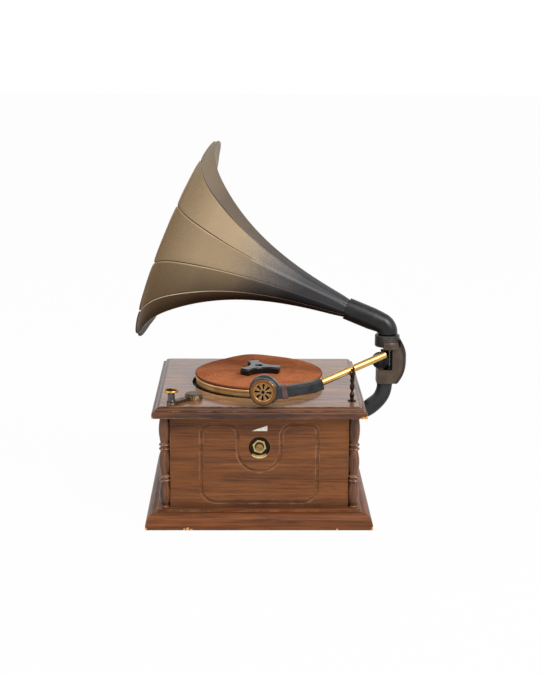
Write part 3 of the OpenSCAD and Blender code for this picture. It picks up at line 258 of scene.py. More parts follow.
def wheel(rings, steps):
    """A closed band of four-sided faces, always in the same order: rows[ring][step] is a vertex."""
    bm = bmesh.new()
    rows = [[bm.verts.new() for _ in range(steps)] for _ in range(rings)]
    for inner, outer in zip(rows, rows[1:]):
        for step in range(steps):
            ahead = (step + 1) % steps
            bm.faces.new((inner[step], outer[step], outer[ahead], inner[ahead]))
    return bm, rows


def body_of(node):
    bodies = frame["record"]["behaviour"]["bodies"]
    return next(body for body, nodes in bodies.items() if node in nodes)


def eased(node, material, width, segments=2, angle=28):
    """A merged copy of a CAD node with its arrises eased, in the node's place."""
    bm = bmesh.new()
    bm.from_mesh(frame["nodes"][node].data)
    bmesh.ops.remove_doubles(bm, verts=bm.verts, dist=0.00001)
    bmesh.ops.dissolve_limit(bm, angle_limit=radians(0.5), verts=bm.verts, edges=bm.edges)
    sharp = [e for e in bm.edges if e.is_manifold and e.calc_face_angle() > radians(angle)]
    bmesh.ops.bevel(
        bm, geom=sharp, offset=width, offset_type="OFFSET", segments=segments, profile=0.5,
        affect="EDGES", material=-1, clamp_overlap=True,
    )
    piece = link_piece(node + "_dressed", bm, material, body_of(node))
    piece.modifiers.new("even_shading", "WEIGHTED_NORMAL").keep_sharp = True
    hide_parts(node)
    return piece


def chipped(oak, colour, chips):
    """Small ragged spots where the stain has broken off and the bare wood shows orange."""
    for spot, reach in chips:
        away = oak.distance(oak.place, spot)
        grit = oak.fade(oak.noise(oak.place, 900, 2.0), 0.3, 0.7)
        ragged = oak.math("MULTIPLY_ADD", grit, reach * 0.7, away)
        colour = oak.tint(oak.fade(ragged, reach, reach * 0.85), colour, srgb(222, 158, 84))
    return colour


def mitred(oak, along_x, along_y):
    """Fibres that turn at the mitres of a square frame, with how far out in X and Y a point lies."""
    x, y = (oak.math("ABSOLUTE", side) for side in oak.split(oak.place)[:2])
    front = oak.math("GREATER_THAN", y, x)
    rails = oak.add("Mix", {0: front, 4: along_y, 5: along_x}, out=1, data_type="VECTOR")
    return rails, x, y


rubbed_w = 0.0011        # how far from an arris the stain is rubbed


def wood(name, light, dark, run, varnish, wear, chips=(), recess=None):
    """Stained oak: fibres along X or Y, or along each rail of a mitred frame, under a varnish."""
    oak = Finish(name, Roughness=varnish, Specular_IOR_Level=0.22)
    along = oak.squeeze(oak.place, (7, 190, 190))
    if run != "X":
        along_y = oak.squeeze(oak.place, (190, 7, 190), (3, 1, 2))
        along = along_y if run == "Y" else mitred(oak, along, along_y)[0]
    band = oak.noise(along, 0.8, 2.0, 0.5, 0.6)
    fibre = oak.noise(along, 4.6, 5.0, 0.62, 0.25)
    tone = oak.math("MULTIPLY_ADD", band, 0.42, oak.times(fibre, 0.58))
    colour = oak.tint(oak.fade(tone, 0.34, 0.62), dark, light)
    cloud = oak.noise(oak.place, 22, 2.0)
    shade = oak.tint(0.75, colour, (0.42, 0.34, 0.30, 1), "MULTIPLY")
    colour = oak.tint(oak.fade(cloud, 0.46, 0.75, 0.0, 0.40), colour, shade)
    warm = oak.noise(oak.squeeze(oak.place, (12, 30, 30), (5, 2, 1)), 1.0, 2.0)
    colour = oak.tint(oak.fade(warm, 0.50, 0.72, 0.0, 0.45), colour, srgb(152, 92, 46))
    pore = oak.fade(oak.noise(along, 11, 2.0, 0.5), 0.62, 0.72)
    colour = oak.wash(pore, 0.55, colour, (0.012, 0.007, 0.004, 1))
    rubbed = oak.rubbed_edge(rubbed_w, oak.noise(oak.place, 95, 3.0), 0.42, 0.62)
    colour = oak.wash(rubbed, wear, colour, srgb(176, 138, 104))
    colour = chipped(oak, colour, chips)
    if recess:
        colour = recess(oak, colour)
    oak.wire("Base Color", colour)
    oak.relief(fibre, 0.00022, 0.5)
    oak.relief(pore, -0.00012, 0.6)
    return oak.material


base_light = srgb(126, 71, 34)
base_dark = srgb(44, 24, 15)
base_chips = [((-0.0590, -0.090, 0.0008), 0.0014), ((-0.0565, -0.090, 0.0012), 0.0019),
              ((-0.0535, -0.090, 0.0008), 0.0013), ((0.0615, -0.090, 0.0008), 0.0014),
              ((-0.0895, -0.090, 0.0010), 0.0016), ((0.0895, -0.0895, 0.0015), 0.0018)]
eased("base_moulding", wood("base_oak", base_light, base_dark, "frame", 0.42, 0.8, base_chips), 0.0005)


# Bottom panel and its screws
# A panel of bare plywood let into the base frame, which closes the cabinet from below.
# Four zinc-plated wood screws hold it to the glue blocks.
def dress(node, material):
    """A CAD node that keeps its own shape gets its finish."""
    mesh = frame["nodes"][node].data
    mesh.materials.clear()
    mesh.materials.append(material)


def plain_timber(name, light, dark, scale=(40, 260, 260)):
    timber = Finish(name, Roughness=0.75)
    run = timber.squeeze(timber.place, scale)
    grain = timber.noise(run, 1.4, 4.0, 0.6)
    timber.wire("Base Color", timber.tint(timber.fade(grain, 0.35, 0.65), dark, light))
    timber.relief(grain, 0.0002, 0.4)
    return timber.material


plywood = plain_timber("plywood", srgb(206, 170, 124), srgb(166, 126, 84))
dress("bottom_panel", plywood)


def metal(name, colour, roughness, mottle=0.12, scale=160):
    """Metal whose polish is uneven: small clouds of duller and darker surface."""
    plate = Finish(name, Metallic=1.0)
    dull = plate.noise(plate.place, scale, 4.0, 0.6)
    plate.wire("Roughness", plate.fade(dull, 0.3, 0.7, roughness * 0.8, roughness * 1.25))
    darker = tuple(c * (1 - mottle * 2) for c in colour[:3]) + (1,)
    plate.wire("Base Color", plate.tint(plate.fade(dull, 0.35, 0.75), colour, darker))
    plate.relief(plate.noise(plate.place, scale * 9, 2.0), 0.00002, 0.35)
    return plate.material


zinc = metal("zinc_steel", srgb(176, 176, 172), 0.36)
dress("bottom_screws", zinc)


# Walls
# Four boards of stained oak, glued to the base, the deck and the corner blocks.
# The front has a routed line that dips round a recess for the volume control.
warm_light = srgb(135, 83, 46)
warm_dark = srgb(74, 43, 27)
front_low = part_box("front_wall")[0]
control_low, control_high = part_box("volume_shaft")
control_z = (control_low.z + control_high.z) / 2
recess_r = 0.0085


def control_recess(oak, colour):
    """Painted shade darkens the recess and the bottom of the wall along the base, and a painted
    highlight lies pale gold on the recess's lower lip.
    """
    x, y, z = oak.split(oak.place)
    # painted shade along the bottom of the wall, where it meets the base
    foot_shade = oak.fade(z, front_low.z + 0.0075, front_low.z + 0.0020, 0.0, 0.5)
    colour = oak.tint(foot_shade, colour, srgb(48, 26, 14))
    # painted shade inside the recess
    flat = oak.add("CombineXYZ", {"X": x, "Y": z})
    away = oak.distance(flat, (0, control_z, 0))
    depth = oak.fade(y, front_low.y + 0.0002, front_low.y + 0.0009)
    near = oak.fade(away, recess_r + 0.0007, recess_r + 0.0003)
    colour = oak.tint(oak.times(near, depth), colour, srgb(50, 32, 20))
    # a painted highlight, pale gold, on the lower lip of the recess
    lip = oak.times(near, oak.fade(away, recess_r - 0.0007, recess_r - 0.0003))
    below = oak.fade(z, control_z - 0.0058, control_z - 0.0070)
    return oak.tint(oak.times(lip, below), colour, srgb(214, 188, 132))


front_oak = wood("front_oak", warm_light, warm_dark, "X", 0.46, 0.75, recess=control_recess)
back_oak = wood("back_oak", warm_light, warm_dark, "X", 0.46, 0.6)
side_oak = wood("side_oak", warm_light, warm_dark, "Y", 0.46, 0.6)
eased("front_wall", front_oak, 0.00028)
eased("back_wall", back_oak, 0.0004)
eased("left_wall", side_oak, 0.0004)
eased("right_wall", side_oak, 0.0004)


# Corner columns
# Four turned posts of dark stained oak, glued into the cabinet's corners.
# Each has two pairs of beads, and its rings are rubbed pale.
def turned_oak():
    oak = Finish("turned_oak", Roughness=0.32, Specular_IOR_Level=0.42)
    upright = oak.squeeze(oak.place, (170, 170, 10))
    fibre = oak.noise(upright, 2.2, 5.0, 0.6, 0.3)
    colour = oak.tint(oak.fade(fibre, 0.36, 0.66), srgb(60, 34, 21), srgb(120, 74, 44))
    rubbed = oak.rubbed_edge(0.0009, oak.noise(oak.place, 120, 2.0), 0.4, 0.6)
    colour = oak.wash(rubbed, 0.6, colour, srgb(190, 150, 118))
    oak.wire("Base Color", colour)
    oak.relief(fibre, 0.0002, 0.4)
    return oak.material


dress("corner_columns", turned_oak())


# Glue blocks
# Rough sawn sticks of bare wood, glued upright into the inner corners.
# They join the walls and take the bottom panel's screws.
sawn_timber = plain_timber("sawn_timber", srgb(190, 150, 104), srgb(148, 108, 70), (260, 260, 40))
dress("corner_blocks", sawn_timber)


# Deck
# A board of polished oak with a mitred, moulded edge and a round well for the platter.
# It is glued on the walls. Its polish is thinner on the edge, and the well under the platter is painted
# near black as shade.
moulding_w = 0.0061
deck_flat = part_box("top_board")[1].x - moulding_w
well_r = 0.0553
deck_chips = [((0.0843, -0.0843, 0.0910), 0.0024), ((0.0815, -0.0844, 0.0902), 0.0021),
              ((0.0790, -0.0844, 0.0900), 0.0014), ((-0.0838, -0.0844, 0.0902), 0.0015)]


def from_axis(finish, place):
    """How far a place lies from the upright axis."""
    flat = finish.squeeze(place, (1, 1, 0))
    return finish.add("VectorMath", {0: flat}, out=1, operation="LENGTH")


def deck_oak():
    oak = Finish("deck_oak", Roughness=0.40, Specular_IOR_Level=0.2, Coat_Roughness=0.13)
    along_x = oak.squeeze(oak.place, (14, 150, 150))
    along_y = oak.squeeze(oak.place, (150, 14, 150), (3, 1, 2))
    rails, x, y = mitred(oak, along_x, along_y)
    rail = oak.math("GREATER_THAN", oak.math("MAXIMUM", x, y), deck_flat)
    along = oak.add("Mix", {0: rail, 4: along_x, 5: rails}, out=1, data_type="VECTOR")
    well = oak.math("LESS_THAN", from_axis(oak, oak.place), well_r + 0.0002)
    dry = oak.math("SUBTRACT", 1.0, well)
    oak.wire("Coat Weight", oak.times(dry, oak.fade(rail, 0.0, 1.0, 0.72, 0.38)))
    band = oak.noise(along, 0.9, 2.0, 0.5, 0.8)
    fibre = oak.noise(along, 3.4, 5.0, 0.62, 0.3)
    tone = oak.math("MULTIPLY_ADD", band, 0.5, oak.times(fibre, 0.5))
    colour = oak.tint(oak.fade(tone, 0.32, 0.66), srgb(74, 43, 26), srgb(156, 100, 60))
    rail_colour = oak.tint(oak.fade(tone, 0.38, 0.62), srgb(48, 27, 16), srgb(104, 62, 36))
    colour = oak.tint(rail, colour, rail_colour)
    pore = oak.fade(oak.noise(along, 11, 2.0, 0.5), 0.62, 0.72)
    colour = oak.wash(pore, 0.5, colour, (0.012, 0.007, 0.005, 1))
    rubbed = oak.rubbed_edge(rubbed_w, oak.noise(oak.place, 90, 3.0), 0.42, 0.62)
    colour = oak.wash(rubbed, 0.6, colour, srgb(182, 146, 112))
    colour = chipped(oak, colour, deck_chips)
    rings = {"Vector": oak.place, "Scale": 19.0, "Distortion": 5.0, "Detail": 1.0, "Detail Scale": 1.6}
    ring = oak.add("TexWave", rings, out=1, bands_direction="Y")
    line = oak.times(oak.fade(ring, 0.95, 0.997), oak.math("SUBTRACT", 1.0, rail))
    colour = oak.wash(line, 0.6, colour, srgb(34, 20, 14))
    # painted shade: the well under the platter is near black
    oak.wire("Base Color", oak.tint(well, colour, srgb(16, 11, 8)))
    oak.relief(fibre, 0.00016, 0.45)
    oak.relief(line, -0.00012, 0.5)
    ripple = oak.noise(oak.squeeze(oak.place, (60, 260, 60)), 1.0, 1.0, 0.4)
    oak.relief(ripple, 0.00035, 0.5)
    return oak.material


eased("top_board", deck_oak(), 0.00045)


# Volume control
# A potentiometer behind the front, held by a washer and a pale brass hexagon nut in the recess.
# Its brass shaft stands bare, for its knob is off.
nut_brass = metal("nut_brass", srgb(198, 174, 124), 0.30, 0.12, 300)
shaft_brass = metal("shaft_brass", srgb(160, 130, 80), 0.34, 0.2, 300)
dark_steel = metal("dark_steel", srgb(58, 48, 38), 0.42, 0.2, 240)
dress("volume_pot", dark_steel)
dress("volume_washer", dark_steel)
eased("volume_nut", nut_brass, 0.0003, 2)
eased("volume_shaft", shaft_brass, 0.00015, 1)


# Volume mark
# A plain rising wedge above the recess, as any control may have.
# It is a thin coat of white paint on the front, rubbed away in small spots.
mark_w = 0.0124
mark_h = 0.0044
mark_t = 0.00006
mark_z = 0.0776
mark_low = Vector((-mark_w / 2, front_low.y - mark_t / 2, mark_z))


def worn_paint():
    paint = Finish("worn_white_paint", Roughness=0.55)
    grit = paint.noise(paint.place, 900, 3.0)
    worn = paint.fade(grit, 0.5, 0.75)
    paint.wire("Base Color", paint.tint(worn, srgb(240, 236, 228), srgb(170, 150, 130)))
    paint.relief(grit, 0.00002, 0.4)
    return paint.material


mark_bm = bmesh.new()
mark_corners = [mark_bm.verts.new(mark_low + Vector(step)) for step in
                ((0, 0, 0), (mark_w, 0, 0), (mark_w, 0, mark_h))]
mark_face = mark_bm.faces.new(mark_corners)
grown = bmesh.ops.extrude_face_region(mark_bm, geom=[mark_face])
mark_back = [vert for vert in grown["geom"] if isinstance(vert, bmesh.types.BMVert)]
bmesh.ops.translate(mark_bm, vec=(0, mark_t, 0), verts=mark_back)
bmesh.ops.recalc_face_normals(mark_bm, faces=mark_bm.faces)
link_piece("volume_mark", mark_bm, worn_paint(), "cabinet")


# Platter, its bearing and its drive
# A turned brass platter on a steel spindle, which runs in a brass bush in the deck.
# A rubber belt turns it from a small motor that hangs under the deck on a steel bracket.
def platter_brass():
    brass = Finish("platter_brass", Metallic=1.0, Anisotropic=0.8)
    around = brass.add("VectorMath", {0: (0, 0, 1), 1: brass.place}, operation="CROSS_PRODUCT")
    brass.wire("Tangent", brass.add("VectorMath", {0: around}, operation="NORMALIZE"))
    turned = brass.noise(brass.squeeze(brass.place, (30, 30, 900)), 1.0, 3.0)
    cloud = brass.noise(brass.place, 60, 3.0)
    colour = brass.tint(brass.fade(cloud, 0.35, 0.7), srgb(236, 198, 142), srgb(190, 150, 98))
    brass.wire("Base Color", colour)
    brass.wire("Roughness", brass.fade(turned, 0.3, 0.7, 0.30, 0.44))
    brass.relief(turned, 0.00003, 0.3)
    return brass.material


eased("platter", platter_brass(), 0.0003)
dress("spindle_bush", shaft_brass)
dress("spindle", zinc)
dress("spindle_clip", zinc)


def moulded(name, colour, roughness):
    """Plastic, rubber or a plain skin: one colour with faint clouds and a fine grain."""
    skin = Finish(name, Roughness=roughness)
    cloud = skin.noise(skin.place, 70, 4.0, 0.6)
    paler = tuple(min(1, c * 1.5 + 0.004) for c in colour[:3]) + (1,)
    skin.wire("Base Color", skin.tint(skin.fade(cloud, 0.35, 0.75), colour, paler))
    skin.relief(skin.noise(skin.place, 1800, 2.0), 0.00002, 0.4)
    return skin.material


black_plastic = moulded("black_plastic", srgb(30, 30, 31), 0.5)
dress("drive_pulley", black_plastic)
dress("drive_belt", moulded("belt_rubber", srgb(24, 24, 24), 0.8))
dress("motor_bracket", zinc)
dress("drive_motor", zinc)
dress("motor_shaft", zinc)
dress("motor_pulley", shaft_brass)


# Felt mat
# A disc of rust-orange felt, cut with a hole for the spindle and laid on the platter.
# It is darker along its outer rim, and at the back it has lifted in one soft hump.
mat_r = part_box("felt_mat")[1].x
mat_hole_r = 0.004
mat_t = 0.0018
mat_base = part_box("platter")[1].z + 0.00005
mat_lift = 0.0024
mat_humps = ((1, 97, 21), (0.25, 55, 24), (0.15, -140, 30))
mat_wave = 0.00012
mat_rings = 44
mat_steps = 160


def hump(angle, middle, width):
    away = (angle - middle + 180) % 360 - 180
    return exp(-((away / width) ** 2))


def mat_rise(x, y):
    """The mat's lift above the platter, as its solid has it, with the felt's own small waves."""
    reach = sqrt(x * x + y * y) / mat_r
    angle = atan2(y, x) * 180 / pi
    lift = sum(share * hump(angle, middle, width) for share, middle, width in mat_humps)
    edge = max(0, (reach - 0.55) / 0.45) ** 2
    ripple = mat_wave * edge * (sin(radians(angle * 7)) + sin(radians(angle * 4 + 70)))
    return mat_lift * edge * lift + max(0, ripple)


mat_bm, mat_rows = wheel(mat_rings + 1, mat_steps)
for ring, row in enumerate(mat_rows):
    reach = mat_hole_r + (mat_r - mat_hole_r) * ring / mat_rings
    for step, vert in enumerate(row):
        x = reach * cos(2 * pi * step / mat_steps)
        y = reach * sin(2 * pi * step / mat_steps)
        vert.co = (x, y, mat_base + mat_t + mat_rise(x, y))


def felt():
    cloth = Finish("rust_felt", Roughness=0.95, Specular_IOR_Level=0.1, Sheen_Weight=0.12,
                   Sheen_Roughness=0.5, Sheen_Tint=srgb(230, 150, 100))
    wool = cloth.noise(cloth.place, 620, 5.0, 0.7, 0.5)
    patch = cloth.noise(cloth.place, 46, 4.0, 0.6, 0.4)
    colour = cloth.tint(cloth.fade(wool, 0.3, 0.7), srgb(142, 76, 43), srgb(212, 130, 84))
    colour = cloth.tint(cloth.fade(patch, 0.44, 0.62, 0, 0.6), colour, srgb(138, 74, 44))
    colour = cloth.tint(cloth.fade(patch, 0.42, 0.28, 0, 0.4), colour, srgb(196, 118, 76))
    speck = cloth.fade(cloth.noise(cloth.place, 210, 2.0), 0.64, 0.72)
    colour = cloth.wash(speck, 0.55, colour, srgb(92, 46, 28))
    outer_band = cloth.fade(from_axis(cloth, cloth.place), mat_r - 0.0011, mat_r - 0.0003)
    colour = cloth.wash(outer_band, 0.7, colour, srgb(84, 44, 28))
    cloth.wire("Base Color", colour)
    cloth.relief(wool, 0.0005, 0.8)
    cloth.relief(patch, 0.0009, 0.5)
    return cloth.material


mat = link_piece("felt_mat_soft", mat_bm, felt(), "turntable")
thickness = mat.modifiers.new("thickness", "SOLIDIFY")
thickness.thickness = mat_t
thickness.offset = -1
rounding = mat.modifiers.new("rounding", "BEVEL")
rounding.width = 0.0005
rounding.segments = 2
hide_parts("felt_mat")


# Record clamp
# A three-armed casting that drops over the spindle and holds the mat and the record.
# Its black lacquer is thick and has run round every arris, so that the light rolls over them.
def clamp_lacquer():
    coat = Finish("clamp_lacquer", Specular_IOR_Level=0.42, Roughness=0.15)
    coat.wire("Normal", coat.add("Bevel", {"Radius": 0.0022}, samples=8))
    dust = coat.noise(coat.place, 140, 4.0, 0.6)
    coat.wire("Base Color", coat.tint(coat.fade(dust, 0.35, 0.8), srgb(9, 9, 10), srgb(24, 24, 25)))
    return coat.material


eased("record_clamp", clamp_lacquer(), 0.0010, 4)


# Switch lever
# A flat bronze lever on a round head, whose steel shaft turns a switch below the deck.
# Near its end it carries a turned knob with a brass cap.
knob_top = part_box("lever_knob")[1].z
cap_t = 0.0031


def knob_finish():
    """Dulled brass on the cap, brighter gold on its lower band, and dark steel on the neck below it."""
    brass = Finish("knob_finish", Metallic=1.0)
    height = brass.split(brass.place)[2]
    cap = brass.fade(height, knob_top - cap_t - 0.0002, knob_top - cap_t)
    cloud = brass.noise(brass.place, 220, 4.0, 0.6)
    dull = brass.tint(brass.fade(cloud, 0.35, 0.75), srgb(150, 102, 44), srgb(110, 72, 30))
    rim = brass.fade(height, knob_top - 0.0008, knob_top - 0.0014)
    gold = brass.wash(rim, 0.75, dull, srgb(200, 152, 82))
    steel = brass.tint(brass.fade(cloud, 0.35, 0.75), srgb(92, 88, 90), srgb(52, 48, 50))
    brass.wire("Base Color", brass.tint(cap, steel, gold))
    brass.wire("Roughness", brass.fade(cloud, 0.3, 0.7, 0.22, 0.36))
    brass.wire("Normal", brass.add("Bevel", {"Radius": 0.0022}, samples=8))
    return brass.material


lever_bronze = metal("lever_bronze", srgb(108, 88, 66), 0.40, 0.22, 200)
eased("lever_arm", lever_bronze, 0.0004)
eased("lever_knob", knob_finish(), 0.0003)
dress("lever_shaft", zinc)
dress("power_switch", black_plastic)


# Arm rest
# A turned bronze post with rings like a string of beads, and a prong in front of the tube.
# Its foot is a dowel, glued into the deck.
post_bronze = metal("post_bronze", srgb(62, 50, 38), 0.20, 0.3, 260)
dress("arm_rest_post", post_bronze)


# Horn bracket
# A black cast arm, screwed through its foot to the right wall, and on it an open bronze casting.
# The casting's top cups the black ringed collar that the horn turns in.
def lacquer(name, colour, roughness, gleam, wear):
    """Lacquer over metal, with its gleam, rubbed through a little on its edges."""
    coat = Finish(name, Specular_IOR_Level=gleam)
    dust = coat.noise(coat.place, 140, 4.0, 0.6)
    rubbed = coat.rubbed_edge(0.0007, dust, 0.45, 0.65)
    paler = tuple(min(1, c * 2.2 + 0.01) for c in colour[:3]) + (1,)
    tone = coat.tint(coat.fade(dust, 0.35, 0.8), colour, paler)
    coat.wire("Base Color", coat.wash(rubbed, wear, tone, srgb(126, 118, 108)))
    coat.wire("Roughness", coat.fade(dust, 0.3, 0.7, roughness * 0.8, roughness * 1.3))
    return coat.material


arm_black = lacquer("arm_black", srgb(26, 25, 25), 0.38, 0.36, 0.4)
eased("bracket_arm", arm_black, 0.0008, 3, 40)
dress("bracket_screws", zinc)

swivel_low, swivel_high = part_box("arm_swivel")
head_low, head_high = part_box("bracket_head")
head_round = 0.031
head_middle_up = 0.0185


def bronze_paint():
    """Bronze paint with rusty clouds, and painted shade, near black, along the round outer rim and in
    the slot beside the swivel.
    """
    paint = Finish("bronze_paint", Metallic=0.1)
    cloud = paint.noise(paint.place, 75, 4.0, 0.6)
    colour = paint.tint(paint.fade(cloud, 0.35, 0.7), srgb(70, 56, 45), srgb(92, 78, 64))
    rust = paint.noise(paint.squeeze(paint.place, (60, 60, 40), (2, 0, 1)), 1.0, 3.0)
    colour = paint.tint(paint.fade(rust, 0.56, 0.74, 0.0, 0.5), colour, srgb(92, 58, 44))
    x, _, z = paint.split(paint.place)
    flat = paint.add("CombineXYZ", {"X": x, "Z": z})
    # painted shade along the round outer rim
    reach = paint.distance(flat, (head_high.x - head_round, 0, head_low.z + head_middle_up))
    ragged = paint.math("MULTIPLY_ADD", cloud, 0.001, reach)
    rim = paint.fade(ragged, head_round - 0.0034, head_round - 0.0018)
    colour = paint.wash(rim, 0.85, colour, srgb(28, 25, 24))
    # painted shade, near black, in the slot beside the swivel, which also loses its gleam there
    shaded_gap = paint.times(paint.math("LESS_THAN", x, swivel_high.x + 0.0022),
                      paint.math("GREATER_THAN", z, swivel_low.z - 0.0005))
    shaded_gap = paint.times(shaded_gap, paint.math("LESS_THAN", z, swivel_high.z + 0.0005))
    colour = paint.tint(shaded_gap, colour, srgb(14, 12, 12))
    paint.wire("Specular IOR Level", paint.fade(shaded_gap, 0.0, 1.0, 0.3, 0.03))
    paint.wire("Base Color", colour)
    paint.wire("Roughness", paint.fade(cloud, 0.3, 0.7, 0.34, 0.48))
    paint.relief(paint.noise(paint.place, 900, 3.0), 0.00004, 0.5)
    return paint.material


eased("bracket_head", bronze_paint(), 0.0014, 3)
collar_black = lacquer("collar_black", srgb(34, 32, 28), 0.36, 0.20, 0.5)
dress("horn_collar", collar_black)


# Elbow
# A bent tube in glossy black lacquer that carries the horn.
# Its upright end turns in the collar, and the horn plugs into its socket.
elbow_black = lacquer("elbow_black", srgb(6, 7, 9), 0.33, 0.31, 0.25)
eased("horn_elbow", elbow_black, 0.0006, 3)


# Horn
# Eleven petals of pressed sheet, nearly flat from side to side and folded together along creases.
# They flare from the socket to a curled lip, and a spray finish goes from black to satin bronze.
petals = 11
petal_notch = 0.057      # how far the mouth is cut back at a seam, as a share of its radius
notch_power = 0.6        # under 1 makes a sharp notch between round tips
petal_bow = 0.0006       # how far back along the axis the lip lies at a seam
petal_flatness = 1.2     # 1 is flat from seam to seam, and more is hollow
petal_start = 0.3        # share of the throat's radius over which the petals begin
ring_growth = 0.026      # how much wider the ring of petals has grown at the mouth
seam_phase = radians(-94.2)
throat_r = 0.00745
throat_swell = 0.0010
swell_reach = 0.12       # share of the throat's radius over which it swells
mouth_r = 0.0861
flare_len = 0.0656       # length along the axis in which the radius grows by a factor of e
lip_start = 0.056        # radius past which the lip curls
lip_curl = 14.4
sleeve_to = 0.0355       # end of the elbow's socket, along the axis
plug_depth = 0.011
horn_wall = 0.0007
crease_w = 0.0008
crease_share = 0.08      # widest crease near the throat, as a share of the radius
crease_shoulder = 2.4    # widths of a crease from the seam to where the petal is plain
crease_depth = 0.0007
crease_full_r = 0.03     # radius from which a crease has its full depth
horn_rings = 84          # rings of faces along the bell
columns = 22             # columns of faces across a petal
horn_rise = radians(21)
horn_turn = radians(9)
bend_r = 0.00885
elbow_foot = 0.00155
bend_turn = pi / 2 - horn_rise
collar_low, collar_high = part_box("horn_collar")
horn_foot = Vector((
    (collar_low.x + collar_high.x) / 2,
    (collar_low.y + collar_high.y) / 2,
    collar_high.z + elbow_foot + bend_r * tan(bend_turn / 2),
))
horn_frame = (
    Matrix.Translation(horn_foot)
    @ Matrix.Rotation(-horn_turn, 4, "Z")
    @ Matrix.Rotation(-bend_turn, 4, "Y")
)


def bell_s(r):
    """How far along the horn's axis the bell has a radius."""
    return sleeve_to + flare_len * log(r / throat_r) - lip_curl * max(0, r - lip_start) ** 2


def out_share(r):
    """How far out along the bell a radius lies: 0 at the throat and 1 at the mouth."""
    return min(1, max(0, (r - throat_r) / (mouth_r - throat_r)))


def facet(r, off_middle):
    """How a petal's cross-section departs from a circle, at an angle from the petal's middle."""
    begun = min(1, max(0, (r / throat_r - 1) / petal_start))
    flat = (1 + ring_growth * out_share(r)) * cos(pi / petals) / cos(off_middle)
    return 1 + petal_flatness * begun * (flat - 1)


def swell(r):
    """The bell opens a little faster just past the socket."""
    return throat_swell * (1 - exp((1 - r / throat_r) / swell_reach)) * (1 - out_share(r))


def notch(off_middle):
    """1 at a seam, falling to 0 at the petal's middle: the bell's edge is cut back by this share."""
    return 1 - abs(cos(petals * off_middle / 2)) ** notch_power


def bell_point(ring, petal, column):
    """Where the bell's vertex lies: ring -1 ends its plug, and column 0 is the seam before a petal."""
    half = pi / petals
    r = throat_r
    s = sleeve_to - plug_depth
    if ring >= 0:
        rough = half * (2 * column / columns - 1)
        end = mouth_r * (1 - petal_notch * notch(rough)) / facet(mouth_r, rough)
        r = throat_r * (end / throat_r) ** (ring / horn_rings)
        s = bell_s(r) - petal_bow * notch(rough) * out_share(r) ** 3
    crease = min(crease_w, crease_share * r) / r
    spread = [0, crease, crease_shoulder * crease]
    last = len(spread) - 1
    from_seam = min(column, columns - column)
    if from_seam <= last:
        off_seam = spread[from_seam]
    else:
        off_seam = spread[last] + (half - spread[last]) * (from_seam - last) / (columns / 2 - last)
    off_middle = (off_seam - half) * (1 if column <= columns / 2 else -1)
    angle = seam_phase + (2 * petal + 1) * half + off_middle
    reach = r * facet(r, off_middle) + swell(r)
    if column == 0:
        reach -= crease_depth * min(1, max(0.4, r / crease_full_r))
    return reach * cos(angle), reach * sin(angle), s


horn_bm, horn_rows = wheel(horn_rings + 2, petals * columns)
for ring, row in enumerate(horn_rows, -1):
    for step, vert in enumerate(row):
        vert.co = bell_point(ring, *divmod(step, columns))
bmesh.ops.reverse_faces(horn_bm, faces=horn_bm.faces)
bmesh.ops.transform(horn_bm, matrix=horn_frame, verts=horn_bm.verts)


